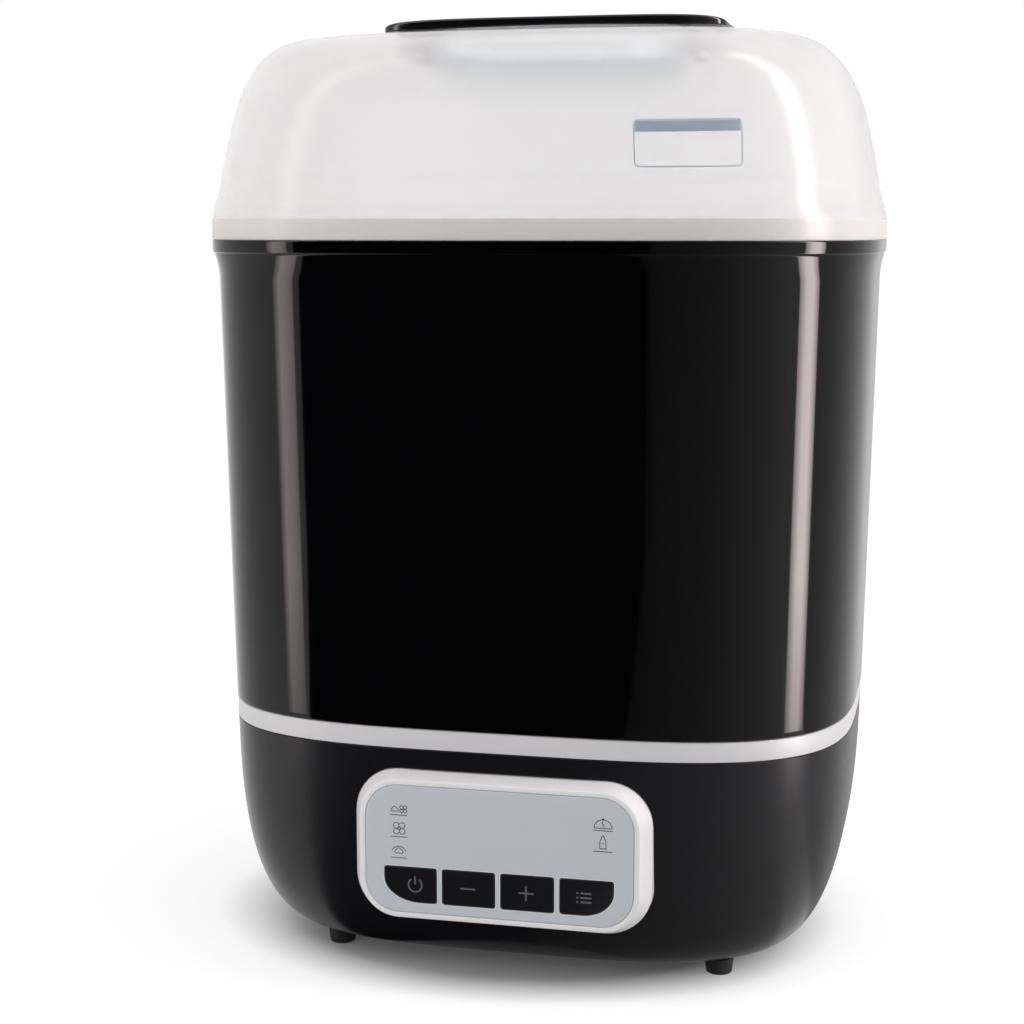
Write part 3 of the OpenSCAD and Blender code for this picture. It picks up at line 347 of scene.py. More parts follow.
def ranged(tree, value, low, high, start=0.0, stop=1.0):
    """Value that goes from low to high while the given one goes from start to stop."""
    limits = add(tree, "ShaderNodeMapRange", From_Min=start, From_Max=stop, To_Min=low, To_Max=high)
    wire(tree, (value, limits.inputs["Value"]))
    return limits.outputs["Result"]


def new_finish(name, **sockets):
    """Material with its node tree and its shader, whose plain sockets are set."""
    finish = bpy.data.materials.new(name)
    finish.use_nodes = True
    tree = finish.node_tree
    surface = tree.nodes["Principled BSDF"]
    for key, value in sockets.items():
        surface.inputs[key.replace("_", " ")].default_value = value
    return finish, tree, surface


def bumped(tree, surface, height, strength, distance):
    bump = add(tree, "ShaderNodeBump", Strength=strength, Distance=distance)
    wire(tree, (height, bump.inputs["Height"]), (bump.outputs["Normal"], surface.inputs["Normal"]))


def darker(colour, share):
    return tuple(share * v for v in colour[:3]) + (1.0,)


def moulded_grain_group():
    """Fine moulded texture: a height and a slow change of tone."""
    g, given, made = new_group("moulded_grain", [("Scale", 900.0)], ["Height", "Tone"])
    place = add(g, "ShaderNodeTexCoord").outputs["Object"]
    fine = add(g, "ShaderNodeTexNoise", Detail=2.0, Roughness=0.6)
    slow = add(g, "ShaderNodeTexNoise", Scale=14.0, Detail=3.0, Roughness=0.55)
    wire(g, (place, fine.inputs["Vector"]), (place, slow.inputs["Vector"]),
         (given.outputs["Scale"], fine.inputs["Scale"]),
         (fine.outputs["Fac"], made.inputs["Height"]), (slow.outputs["Fac"], made.inputs["Tone"]))
    return g


def handling_group():
    """Faint cleaning marks: a mask from 0 to 1 in long soft patches."""
    g, given, made = new_group("handling_marks", [("Scale", 9.0)], ["Mask"])
    place = add(g, "ShaderNodeTexCoord").outputs["Object"]
    stretch = add(g, "ShaderNodeMapping", Scale=(1.0, 1.0, 0.35))
    patch = add(g, "ShaderNodeTexNoise", Detail=5.0, Roughness=0.62, Distortion=0.4)
    wire(g, (place, stretch.inputs["Vector"]), (stretch.outputs["Vector"], patch.inputs["Vector"]),
         (given.outputs["Scale"], patch.inputs["Scale"]),
         (ranged(g, patch.outputs["Fac"], 0.0, 1.0, 0.42, 0.7), made.inputs["Mask"]))
    return g


def brushing_group():
    """Brushed metal: a mask of fine lines round an upright axis."""
    g, given, made = new_group("brushed_lines", [("Middle", 0.0), ("Scale", 1.0)], ["Mask"])
    place = add(g, "ShaderNodeTexCoord").outputs["Object"]
    parts = add(g, "ShaderNodeSeparateXYZ")
    shift = add(g, "ShaderNodeMath", operation="SUBTRACT")
    flat = add(g, "ShaderNodeCombineXYZ")
    reach = add(g, "ShaderNodeVectorMath", operation="LENGTH")
    lines = add(g, "ShaderNodeTexNoise", noise_dimensions="1D", Detail=3.0, Roughness=0.7)
    fine = add(g, "ShaderNodeMath", operation="MULTIPLY")
    fine.inputs[1].default_value = 2400.0
    wire(g, (place, parts.inputs["Vector"]), (parts.outputs["X"], shift.inputs[0]),
         (given.outputs["Middle"], shift.inputs[1]), (shift.outputs[0], flat.inputs["X"]),
         (parts.outputs["Y"], flat.inputs["Y"]), (flat.outputs[0], reach.inputs[0]),
         (given.outputs["Scale"], fine.inputs[0]), (fine.outputs[0], lines.inputs["Scale"]),
         (reach.outputs["Value"], lines.inputs["W"]), (lines.outputs["Fac"], made.inputs["Mask"]))
    return g


moulded_grain = moulded_grain_group()
handling_marks = handling_group()
brushed_lines = brushing_group()


def plastic(name, dark, light, roughness, grain_scale, grain_depth, marks=0.06, **sockets):
    """Moulded plastic: tone from dark to light, grain in its gloss and its surface."""
    finish, tree, surface = new_finish(name, **sockets)
    grain = place_group(tree, moulded_grain, Scale=grain_scale)
    handled = place_group(tree, handling_marks, Scale=9.0)
    gloss = ranged(tree, handled.outputs["Mask"], roughness, roughness + marks)
    wire(tree, (mixed(tree, grain.outputs["Tone"], dark, light), surface.inputs["Base Color"]),
         (gloss, surface.inputs["Roughness"]))
    bumped(tree, surface, grain.outputs["Height"], grain_depth, 0.0002)
    return finish


def metal(name, dark, light, roughness, middle=0.0, scale=1.0, metallic=1.0):
    """Brushed metal: tone and gloss follow its lines."""
    finish, tree, surface = new_finish(name, Metallic=metallic)
    lines = place_group(tree, brushed_lines, Middle=middle, Scale=scale).outputs["Mask"]
    wire(tree, (mixed(tree, lines, dark, light), surface.inputs["Base Color"]),
         (ranged(tree, lines, roughness - 0.06, roughness + 0.08), surface.inputs["Roughness"]))
    bumped(tree, surface, lines, 0.12, 0.0001)
    return finish


def frosted(name, colour, seen_flat, seen_edge, skirt=None, fade=None):
    """Milky see-through plastic: denser edge-on and in a skirt, thinner towards the lower end of a fade. The
    skirt's darker tint is painted shade.
    """
    coat = 0.7
    finish, tree, surface = new_finish(
        name, Coat_Weight=coat, Coat_Roughness=0.03, Subsurface_Weight=0.7, Subsurface_Radius=(1, 1, 1),
        Subsurface_Scale=0.005, Specular_IOR_Level=0.25, IOR=1.49)
    grain = place_group(tree, moulded_grain, Scale=700.0)
    facing = add(tree, "ShaderNodeLayerWeight", Blend=0.35)
    dense = ranged(tree, facing.outputs["Facing"], seen_flat, seen_edge)
    tone = mixed(tree, grain.outputs["Tone"], colour, darker(colour, 0.97))
    height = add(tree, "ShaderNodeSeparateXYZ")
    wire(tree, (add(tree, "ShaderNodeTexCoord").outputs["Object"], height.inputs["Vector"]))
    if fade:
        thin = add(tree, "ShaderNodeMath", operation="MULTIPLY")
        wire(tree, (dense, thin.inputs[0]),
             (ranged(tree, height.outputs["Z"], 0.06, 1.0, fade[0] * MM, fade[1] * MM), thin.inputs[1]))
        dense = thin.outputs[0]
    if skirt:
        top, soft = SEAM + SKIRT_H, 0.4
        rim = ranged(tree, height.outputs["Z"], 1.0, 0.0, (top - soft) * MM, (top + soft) * MM)
        thick = add(tree, "ShaderNodeMath", operation="MULTIPLY_ADD")
        thick.inputs[1].default_value = 0.6
        # Painted shade: below the top of the skirt the colour turns to the darker skirt tint, standing in for
        # the dark chamber lip and tray behind it.
        tinted = mixed(tree, rim, colour, skirt)
        wire(tree, (rim, thick.inputs[0]), (dense, thick.inputs[2]), (tone, tinted.node.inputs[6]))
        dense, tone = thick.outputs[0], tinted
        wire(tree, (ranged(tree, rim, coat, 0.12), surface.inputs["Coat Weight"]))
    wire(tree, (dense, surface.inputs["Alpha"]), (tone, surface.inputs["Base Color"]),
         (ranged(tree, grain.outputs["Tone"], 0.36, 0.46), surface.inputs["Roughness"]))
    bumped(tree, surface, grain.outputs["Height"], 0.05, 0.0002)
    return finish


def printed(name, colour, thin):
    """Screen print: a flat ink with slightly uneven cover."""
    finish, tree, surface = new_finish(name, Roughness=0.5)
    grain = place_group(tree, moulded_grain, Scale=1600.0)
    wire(tree, (mixed(tree, grain.outputs["Height"], colour, thin), surface.inputs["Base Color"]))
    return finish


def circuit_board(name, resist, track):
    """Circuit board: resist with a pattern of fine tracks under it."""
    finish, tree, surface = new_finish(name, Roughness=0.35)
    place = add(tree, "ShaderNodeTexCoord").outputs["Object"]
    tracks = add(tree, "ShaderNodeTexBrick", Scale=170.0, Mortar_Size=0.06, Color1=resist,
                 Color2=darker(resist, 0.8), Mortar=track)
    wire(tree, (place, tracks.inputs["Vector"]), (tracks.outputs["Color"], surface.inputs["Base Color"]))
    return finish


def felt(name, dark, light):
    """Filter felt: loose fibres in its tone and its surface."""
    finish, tree, surface = new_finish(name, Roughness=0.95)
    place = add(tree, "ShaderNodeTexCoord").outputs["Object"]
    fibres = add(tree, "ShaderNodeTexVoronoi", Scale=900.0)
    wire(tree, (place, fibres.inputs["Vector"]),
         (mixed(tree, fibres.outputs["Distance"], light, dark), surface.inputs["Base Color"]))
    bumped(tree, surface, fibres.outputs["Distance"], 0.6, 0.0006)
    return finish


base_satin = plastic("base_satin", srgb(18, 17, 20), srgb(23, 22, 26), 0.24, 1500.0, 0.06,
                     Specular_IOR_Level=0.3)
chamber_gloss = plastic("chamber_gloss", srgb(2, 2, 4), srgb(4, 4, 6), 0.05, 60.0, 0.01, marks=0.02,
                        Specular_IOR_Level=0.26)
grip_gloss = plastic("grip_gloss", srgb(8, 8, 10), srgb(14, 14, 16), 0.16, 1200.0, 0.03, marks=0.04)
pale_plastic = plastic("pale_plastic", srgb(242, 239, 240), srgb(247, 244, 245), 0.34, 1300.0, 0.04)
# band_plastic is the pale plastic made darker: painted shade standing in for the shadow under the chamber's
# lower edge.
band_plastic = plastic("band_plastic", srgb(217, 215, 217), srgb(223, 221, 223), 0.38, 1300.0, 0.04)
rack_plastic = plastic("rack_plastic", srgb(228, 228, 228), srgb(236, 236, 235), 0.4, 1100.0, 0.05)
lens_plastic = plastic("lens_plastic", srgb(205, 210, 217), srgb(210, 215, 222), 0.3, 1800.0, 0.02,
                       marks=0.04)
key_gloss = plastic("key_gloss", srgb(25, 25, 28), srgb(29, 29, 32), 0.14, 1800.0, 0.02, marks=0.04)
foot_rubber = plastic("foot_rubber", srgb(16, 16, 17), srgb(26, 26, 27), 0.7, 1400.0, 0.3)
seal_rubber = plastic("seal_rubber", srgb(200, 200, 192), srgb(216, 215, 206), 0.6, 1200.0, 0.2)
inner_plastic = plastic("inner_plastic", srgb(58, 58, 62), srgb(72, 72, 76), 0.5, 900.0, 0.2)
relay_blue = plastic("relay_blue", srgb(28, 78, 150), srgb(36, 90, 165), 0.35, 900.0, 0.05)
tape_yellow = plastic("tape_yellow", srgb(205, 176, 60), srgb(222, 194, 80), 0.45, 500.0, 0.1)
sleeve_blue = plastic("sleeve_blue", srgb(36, 40, 92), srgb(48, 52, 110), 0.3, 900.0, 0.04)
terminal_green = plastic("terminal_green", srgb(52, 128, 78), srgb(64, 144, 90), 0.4, 900.0, 0.06)
thermostat_brown = plastic("thermostat_brown", srgb(88, 60, 42), srgb(104, 72, 50), 0.45, 900.0, 0.08)
display_white = plastic("display_white", srgb(222, 228, 232), srgb(232, 237, 240), 0.5, 1200.0, 0.02)
# The skirt colour is painted shade for the dark chamber lip and tray behind the skirt.
lid_frost = frosted("lid_frost", srgb(243, 240, 240), 0.2, 0.6, skirt=srgb(228, 222, 220))
well_frost = frosted("well_frost", srgb(206, 220, 232), 0.46, 0.5, fade=(WELL_Z + 5, LID_TOP - 1))
pad_frost = frosted("pad_frost", srgb(236, 238, 242), 0.55, 0.75)
dish_steel = metal("dish_steel", srgb(196, 196, 198), srgb(222, 222, 224), 0.26, middle=-0.010)
grip_steel = metal("grip_steel", srgb(222, 222, 224), srgb(236, 236, 238), 0.6, scale=0.6, metallic=0.35)
screw_steel = metal("screw_steel", srgb(176, 176, 180), srgb(206, 206, 210), 0.3, scale=0.6)
sensor_brass = metal("sensor_brass", srgb(190, 152, 84), srgb(214, 178, 108), 0.3, scale=0.6)
motor_can = metal("motor_can", srgb(150, 150, 154), srgb(176, 176, 180), 0.38, scale=0.4)
heater_metal = metal("heater_metal", srgb(180, 172, 156), srgb(204, 196, 180), 0.42, scale=0.8)
control_green = circuit_board("control_green", srgb(24, 92, 52), srgb(70, 140, 84))
power_tan = circuit_board("power_tan", srgb(128, 98, 44), srgb(170, 138, 70))
filter_felt = felt("filter_felt", srgb(60, 63, 68), srgb(120, 124, 130))
print_dark = printed("print_dark", srgb(38, 44, 52), srgb(52, 58, 66))
print_grey = printed("print_grey", srgb(94, 95, 99), srgb(106, 107, 111))
print_pale = printed("print_pale", srgb(226, 228, 226), srgb(234, 236, 234))
print_blue = printed("print_blue", srgb(56, 112, 164), srgb(66, 122, 174))


# Base bowl with the openings for the panel, the filter door and the cord gland

BASE_IN, BASE_LEAN, BASE_ROUND, BASE_POWER = 6.3, 2, 36, 2.8


def bowl_profile(wall, floor_t, count):
    """Insets and heights of the bowl, from its floor to its rim."""
    fine = []
    for i in range(1201):
        phi = math.pi / 2 * (1 - i / 1200)
        up = math.sin(phi) ** (2 / BASE_POWER)
        reach = 1 - max(math.cos(phi), 0.0) ** (2 / BASE_POWER)
        inset = BASE_IN + wall + BASE_LEAN * up + BASE_ROUND * reach
        fine.append((inset, BASE_TOP - (BASE_H - floor_t) * up))
    return even_steps(fine, count)


BASE_WALL = 2.6
BOWL_OUT = bowl_profile(0, 0, 44)
BOWL_IN = bowl_profile(BASE_WALL, BASE_WALL, 30)
BEZEL_W, BEZEL_H, BEZEL_R = LENS_W + 3.8, LENS_H + 3.8, 14.9
BEZEL_FLARE_X, BEZEL_FLARE_Z = 4.1, 3
DOOR = ((door_low.y + door_high.y) / 2, (door_low.z + door_high.z) / 2)
DOOR_W, DOOR_H = door_high.y - door_low.y, door_high.z - door_low.z
TUNNEL_X = RIM_X - 39
GLAND = (-40.0, FOOT_H + 27.5)
GLAND_BORE = 6.05
AIR = (78, 19.5)
AIR_HALF = (10, 11.5)


def bowl_shape():
    rim, soft = BOWL_OUT[-1][0], 0.4
    outer = BOWL_OUT[:-1] + [(rim, BASE_TOP - soft), (rim + soft, BASE_TOP)]
    return skin(plan_rings(outer) + plan_rings(reversed(BOWL_IN)))


def bowl_core():
    """The bowl filled up, to cut what ends inside its wall."""
    return skin(plan_rings([(d + BASE_WALL / 3, z) for d, z in BOWL_OUT]))


def gland_rings(radius, y0, y1):
    """Circles round the gland's bore, which runs from front to back."""
    return [[(x, y, -z) for x, z in circle(radius, (GLAND[0], -GLAND[1]), 40)] for y in (y0, y1)]


def build_base():
    bowl = make_piece("base_bowl", bowl_shape(), base_satin, "base", ["base_shell"])
    opening = [panel_ring(BEZEL_W + 2 * BEZEL_FLARE_X + FIT, BEZEL_H + 2 * BEZEL_FLARE_Z + FIT,
                          [BEZEL_R + BEZEL_FLARE_Z + FIT / 2] * 4, y) for y in (PANEL_Y + 21, PANEL_Y - 4)]
    doorway = [side_ring(DOOR_W + FIT, DOOR_H + FIT, 4, x, DOOR) for x in (TUNNEL_X - 2, RIM_X + 2)]
    for rings in (opening, doorway, gland_rings(GLAND_BORE, RIM_Y + 5, RIM_Y - 33)):
        carve(bowl, skin(rings))
    screw_holes = [(place, 2.4) for place in POSTS] + [((72, y), 1.3) for y in (-12, 12)]
    carve(bowl, joined(*[skin(circle_rings([(4.3, FOOT_H - 1), (4.3, FOOT_H + deep)], place, 32))
                         for place, deep in screw_holes]))
    mouth, wall = RIM_X - 13.5, 1.6
    rings = [side_ring(DOOR_W + FIT + 2 * g, DOOR_H + FIT + 2 * g, 4 + g, x, DOOR)
             for g, x in ((0, TUNNEL_X), (wall, TUNNEL_X), (wall, mouth), (0, mouth))]
    tunnel = make_piece("filter_tunnel", skin(rings, closed=True), base_satin, "base")
    carve(tunnel, bowl_core(), "INTERSECT")
    near, far = RIM_Y - 10.2, RIM_Y - 27
    seat = gland_rings(11, near, far) + gland_rings(GLAND_BORE, far, near)
    make_piece("gland_seat", skin(seat, closed=True), base_satin, "base")


def build_feet():
    peg, peg_top = 2.5, FOOT_H + 4
    profile = rounded([(0.01, 0, 0), (5.2, 0, 0.7), (6, FOOT_H, 0.3), (peg, FOOT_H, 0), (peg, peg_top, 0),
                       (0.01, peg_top, 0)])
    for end, sy in (("front", -1), ("rear", 1)):
        for side, sx in (("left", -1), ("right", 1)):
            name = end + "_" + side
            rings = circle_rings(profile, (sx * 79.5, sy * 61), 48)
            make_piece("foot_pad_" + name, skin(rings), foot_rubber, "base", ["foot_" + name])


def build_deck():
    """Pale band with its rim and skirt, the floor with its openings, and the posts under it."""
    band, rim, skirt = 6.2, 14, 9.5
    inner, skirt_in, skirt_low, rim_top = rim + 2.5, skirt + 2.4, BASE_TOP - 6, BAND_TOP + 4
    profile = rounded([(skirt, skirt_low, 0), (skirt, BASE_TOP, 0), (band, BASE_TOP, 0.5),
                       (band, BAND_TOP, 0.7), (rim, BAND_TOP, 0.5), (rim, rim_top, 0.8),
                       (inner, rim_top, 0.8), (inner, DECK_FLOOR, 0.3), (rim, DECK_FLOOR, 0.3),
                       (rim, BASE_TOP, 0), (skirt_in, BASE_TOP, 0), (skirt_in, skirt_low, 0)], closed=True)
    make_piece("pale_band", skin(plan_rings(profile), closed=True), band_plastic, "base", ["deck_rim"])
    edge = rounded([(rim, DECK_UNDER, 0.4), (rim, DECK_FLOOR, 0.2), (inner, DECK_FLOOR, 0)])
    floor = make_piece("deck_floor", skin(plan_rings([(20, DECK_UNDER)] + edge)), pale_plastic, "base",
                       ["deck"])
    carve(floor, skin(circle_rings([(60, 80), (60, 100)], (-10, 0), 128)))
    corner = [[AIR[i] + s * AIR_HALF[i] for i in (0, 1)] for s in (-1, 1)]
    carve(floor, block((*corner[0], 80), (*corner[1], 100)))
    collar = [[(AIR[0] + sx * (AIR_HALF[0] + g), AIR[1] + sy * (AIR_HALF[1] + g), z) for sx, sy in SQUARE]
              for g, z in ((2, 91.9), (2, 98), (0, 98), (0, 91.9))]
    make_piece("air_collar", skin(collar, closed=True), pale_plastic, "base")
    posts = [skin(circle_rings([(4.5, 14.1), (4.5, 90)], place, 32)) for place in POSTS]
    make_piece("deck_posts", joined(*posts), pale_plastic, "base")


def build_filter_door():
    """Door cut from the bowl's own surface, with its louvres and the cage that holds the filter pad."""
    door = make_piece("filter_door_face", bowl_shape(), base_satin, "filter_door", ["filter_cover"])
    outline = [side_ring(DOOR_W, DOOR_H, 3.7, x, DOOR) for x in (TUNNEL_X + 10, RIM_X + 2)]
    carve(door, skin(outline), "INTERSECT")
    y, z = DOOR
    louvres = [skin([side_ring(26, 2.4, 1.1, x, (y, z + 6.5 * i)) for x in (TUNNEL_X + 12, RIM_X + 2)])
               for i in range(-2, 3)]
    carve(door, joined(*louvres))
    back, mouth, wall = TUNNEL_X + 2, RIM_X - 12, 1.4
    rings = [side_ring(DOOR_W - 2 * g, DOOR_H - 2 * g, 3.7 - g, x, DOOR)
             for g, x in ((wall, back), (wall, mouth), (0, mouth), (0, back))]
    cage = make_piece("filter_cage", skin(rings, closed=True), base_satin, "filter_door")
    carve(cage, bowl_core(), "INTERSECT")
    half_w, half_h, half_bar, front = DOOR_W / 2 - 1, DOOR_H / 2 - 1, 3, back + 2
    cross = [block((back, y - half_bar, z - half_h), (front, y + half_bar, z + half_h)),
             block((back, y - half_w, z - half_bar), (front, y + half_w, z + half_bar))]
    make_piece("filter_cross", joined(*cross), base_satin, "filter_door")


def build_panel():
    back, slope, seat = PANEL_Y + 20, PANEL_Y + 7.5, LENS_BACK + 0.3
    side = rounded([(BEZEL_FLARE_X, back, 0), (BEZEL_FLARE_X, slope, 2.5), (0.35, PANEL_Y, 0.9),
                    (-1.75, PANEL_Y, 0.4), (-1.75, seat, 0)], steps=6)
    rings = []
    for d, y in side:
        up = d * BEZEL_FLARE_Z / BEZEL_FLARE_X if d > 0 else d
        rings.append(panel_ring(BEZEL_W + 2 * d, BEZEL_H + 2 * up, [BEZEL_R + up] * 4, y))
    rings += [panel_ring(BEZEL_W - 9, BEZEL_H - 9, [10] * 4, y) for y in (seat, back)]
    make_piece("panel_bezel", skin(rings, closed=True), pale_plastic, "base", ["bezel"],
               crease=50)
    edge = rounded([(0, LENS_BACK, 0), (0, PANEL_Y, 0.35), (20, PANEL_Y, 0)])[:-1] + [(1, PANEL_Y)]
    lens = [panel_ring(LENS_W - 2 * d, LENS_H - 2 * d, [13 - d] * 4, y) for d, y in edge]
    glass = make_piece("display_lens", skin(lens), lens_plastic, "base", ["panel_lens"])
    wells = []
    for i, x in enumerate(KEY_XS):
        wells.append(skin([panel_ring(KEY_W + FIT, KEY_H + FIT, key_radii(i, -FIT / 2), y, (x, KEY_DROP))
                           for y in (LENS_BACK + 1, PANEL_Y - 1)]))
    carve(glass, joined(*wells))


def key_radii(i, inset):
    """Corner radii of a key; the outer keys have one long lower corner."""
    radii = [(0.8, 0.8)] * 4
    if i == 0:
        radii[2] = (14.0, 9.5)
    if i == 3:
        radii[3] = (12.0, 9.5)
    return [(max(x - inset, 0.1), max(z - inset, 0.1)) for x, z in radii]


def build_keys():
    """Key caps with a hidden flange and a stem that reaches the switch."""
    foot = LENS_BACK + 0.2
    side = rounded([(-0.7, foot + 1, 0), (-0.7, foot, 0), (0, foot, 0), (0, KEY_FACE, 0.35),
                    (0.9, KEY_FACE, 0)])
    for i, (node, x) in enumerate(zip(KEY_NODES, KEY_XS)):
        cap = [panel_ring(KEY_W - 2 * d, KEY_H - 2 * d, key_radii(i, d), y, (x, KEY_DROP)) for d, y in side]
        stem = [[(px, y, pz) for px, pz in circle(KEY_STEM, (x, KEY_Z), 24)]
                for y in (span(node)[1].y, LENS_BACK + 1)]
        make_piece("cap_" + node, joined(skin(cap), skin(stem)), key_gloss, KEY_BODIES[i], [node])


# Printed marks

def stroke(points, width, closed=False):
    """Flat ribbon along points (across, up), with mitred joints."""
    left, right = [], []
    n = len(points)
    for i, point in enumerate(points):
        p = Vector(point)
        before = Vector(points[i - 1]) if closed or i > 0 else None
        after = Vector(points[(i + 1) % n]) if closed or i < n - 1 else None
        first = (p - before).normalized() if before is not None else (after - p).normalized()
        second = (after - p).normalized() if after is not None else first
        side = Vector((-first.y - second.y, first.x + second.x))
        side = side.normalized() if side.length > 1e-6 else Vector((-first.y, first.x))
        across = max(side.dot(Vector((-first.y, first.x))), 0.4)
        left.append(p + side * (width / 2 / across))
        right.append(p - side * (width / 2 / across))
    corners = [tuple(p) for p in left + right]
    faces = []
    for i in range(n if closed else n - 1):
        k = (i + 1) % n
        faces.append((i, n + i, n + k, k))
    return corners, faces


def arc(middle, rx, rz, start, stop, steps=16):
    turns = [math.radians(start + (stop - start) * k / steps) for k in range(steps + 1)]
    return [(middle[0] + rx * math.cos(t), middle[1] + rz * math.sin(t)) for t in turns]


def bar(x, z, w, h):
    return [(x + sx * w / 2, z + sz * h / 2) for sx, sz in SQUARE], [(0, 1, 2, 3)]


def on_front(shape, y):
    return [(x, y, z) for x, z in shape[0]], shape[1]


def fan_mark(x, z, size, width):
    """Four looped blades round a hub."""
    marks = []
    for turn in (45, 135, 225, 315):
        a = math.radians(turn)
        middle = (x + size * 0.3 * math.cos(a), z + size * 0.3 * math.sin(a))
        marks.append(stroke(arc(middle, size * 0.2, size * 0.2, turn - 205, turn + 115, 14), width))
    marks.append(stroke(arc((x, z), size * 0.1, size * 0.1, 0, 330, 10), width, closed=True))
    return marks


def steam_mark(x, z, w, width):
    """Small cloud with a rising puff."""
    cloud = (arc((x - w * 0.2, z - w * 0.08), w * 0.13, w * 0.13, 100, 290, 8)
             + arc((x, z - w * 0.12), w * 0.12, w * 0.09, 230, 310, 5)
             + arc((x + w * 0.2, z - w * 0.08), w * 0.13, w * 0.13, 250, 440, 8)
             + arc((x, z + w * 0.04), w * 0.17, w * 0.17, 25, 155, 8))
    return [stroke(cloud, width, closed=True)]


def steam_bow_mark(x, z, w, width):
    """Cloud under a wide open bow."""
    bow = arc((x, z - w * 0.25), w * 0.48, w * 0.5, 155, 25, 18)
    return [stroke(bow, width)] + steam_mark(x, z - w * 0.02, w * 0.8, width)


def dome_mark(x, z, w, width):
    dome = arc((x, z - w * 0.2), w * 0.48, w * 0.46, 0, 180, 22) + [(x + w * 0.48, z - w * 0.2)]
    knob = stroke(arc((x, z + w * 0.28), w * 0.045, w * 0.045, 0, 330, 8), width, closed=True)
    wave = stroke([(x, z - w * 0.12), (x + w * 0.05, z - w * 0.04), (x - w * 0.05, z + w * 0.06),
                   (x, z + w * 0.16)], width)
    return [stroke(dome, width), knob, wave]


def bottle_mark(x, z, h, width):
    r = h * 0.21
    half = [(r, -0.42), (r, 0.04), (r * 0.85, 0.16), (r * 0.55, 0.3), (r * 0.3, 0.42)]
    left, right = [[(x + side * w, z + h * v) for w, v in half] for side in (-1, 1)]
    level = [(x + side * r * 0.45, z - h * 0.06) for side in (-1, 1)]
    return [stroke(left + [(x, z + h * 0.5)] + right[::-1], width, closed=True), stroke(level, width)]


def build_panel_marks():
    line = 0.31
    marks = steam_mark(-41.0, 74.5, 4.4, line) + fan_mark(-37.5, 74.5, 3.4, line)
    marks += fan_mark(-39.2, 66.8, 5.6, line)
    marks += steam_bow_mark(-39.4, 58.0, 6.4, line)
    marks += dome_mark(41.0, 73.8, 7.2, line)
    marks += bottle_mark(41.0, 66.7, 5.6, line)
    underlines = [(-39.4, 72.1, 6.9), (-39.4, 63.4, 6.9), (-39.4, 55.0, 6.7), (41.1, 71.4, 7.3),
                  (41.0, 63.2, 7.3)]
    marks += [bar(x, z, w, line) for x, z, w in underlines]
    make_piece("panel_symbols", joined(*[on_front(m, PANEL_PRINT) for m in marks]), print_dark, "base")
    frames = []
    for i, middle in enumerate(KEY_XS):
        outline = round_outline(KEY_W + 0.95, KEY_H + 0.95, key_radii(i, -0.47))
        ring = [(middle + x, KEY_Z + z) for x, z in outline]
        frames.append(on_front(stroke(ring, 0.34, closed=True), PANEL_PRINT))
    make_piece("key_frames", joined(*frames), print_pale, "base")


def build_key_marks():
    x = [k + dx for k, dx in zip(KEY_XS, (1.9, -0.2, -0.4, -1.0))]
    line, dot = 0.62, 0.72
    power = [stroke(arc((x[0], KEY_Z), 2.7, 2.7, 125, 415, 30), line), bar(x[0], KEY_Z + 1.9, line, 3.2)]
    minus = [bar(x[1], KEY_Z, 6.0, line)]
    plus = [bar(x[2], KEY_Z, 6.0, line)] + [bar(x[2], KEY_Z + dz, line, 2.68) for dz in (1.65, -1.65)]
    menu = []
    for k in (-1, 0, 1):
        menu += [bar(x[3] - 2.5, KEY_Z + 1.75 * k, dot, dot), bar(x[3] + 0.8, KEY_Z + 1.75 * k, 4.3, dot)]
    for name, marks, body in zip(("power", "minus", "plus", "menu"), (power, minus, plus, menu), KEY_BODIES):
        make_piece("mark_" + name, joined(*[on_front(m, KEY_PRINT) for m in marks]), print_grey, body)


# Chamber

FLARE_FOOT = SEAM - 15
BODY_IN, BODY_TAPER = 2.5, 3.4 / 172.5


def body_inset(z):
    """Inset of the straight wall, which narrows downwards from the foot of its flare."""
    return BODY_IN + BODY_TAPER * (FLARE_FOOT - z)


def ease(v):
    return v * v * (3 - 2 * v)


def build_chamber():
    flare = [(BODY_IN - 1.75 * (k / 14) ** 1.6, FLARE_FOOT + 9.8 * k / 14, 0) for k in range(15)]
    wall = [(body_inset(z), z, 0) for z in (107.2, 110, 140, 180, 220, 250, 270)]
    outer = [(7.6, BAND_TOP, 0), (body_inset(BAND_TOP), BAND_TOP, 1.4)] + wall + flare
    outer += [(0.2, SEAM - 4.8, 0.35), (0, SEAM, 0.6)]
    wall_t, ledge, foot_top = 2.8, 8, 112
    inner = [(4, SEAM, 0.5), (4, SEAM - 6, 0.5), (ledge, SEAM - 6, 0.8), (ledge, SEAM - 8, 0.8),
             (BODY_IN + wall_t, FLARE_FOOT, 2), (body_inset(foot_top) + wall_t, foot_top, 1.2),
             (13.4, foot_top, 0.6), (13.4, BAND_TOP, 0.4)]
    profile = rounded(outer + inner, closed=True)
    make_piece("chamber_wall", skin(plan_rings(profile), closed=True), chamber_gloss, "chamber", ["chamber"],
               crease=50)


# Lid with its finger well, and the grip over the well

def dome_point(wall, slack, share):
    """Insets and height on the dome, share 0 at its foot and 1 at its crown."""
    phi = math.pi / 2 * share
    up = math.sin(phi) ** 0.5
    reach = 1 - max(math.cos(phi), 0.0) ** 0.5
    start = SWEEP_IN + wall + DOME_LEAN * up
    across, along = start + (DOME_ROUND_X - slack) * reach, start + (DOME_ROUND_Y - slack) * reach
    return across, along, DOME_Z + (DOME_H - wall) * up


def dome_run(wall, slack, count):
    return even_steps([dome_point(wall, slack, i / 2000) for i in range(2001)], count)


def crown_ring(step, z):
    return plan_ring(CROWN_X + step, CROWN_Y + step, z)


QUARTER = [math.pi / 2 * k / 6 for k in range(7)]


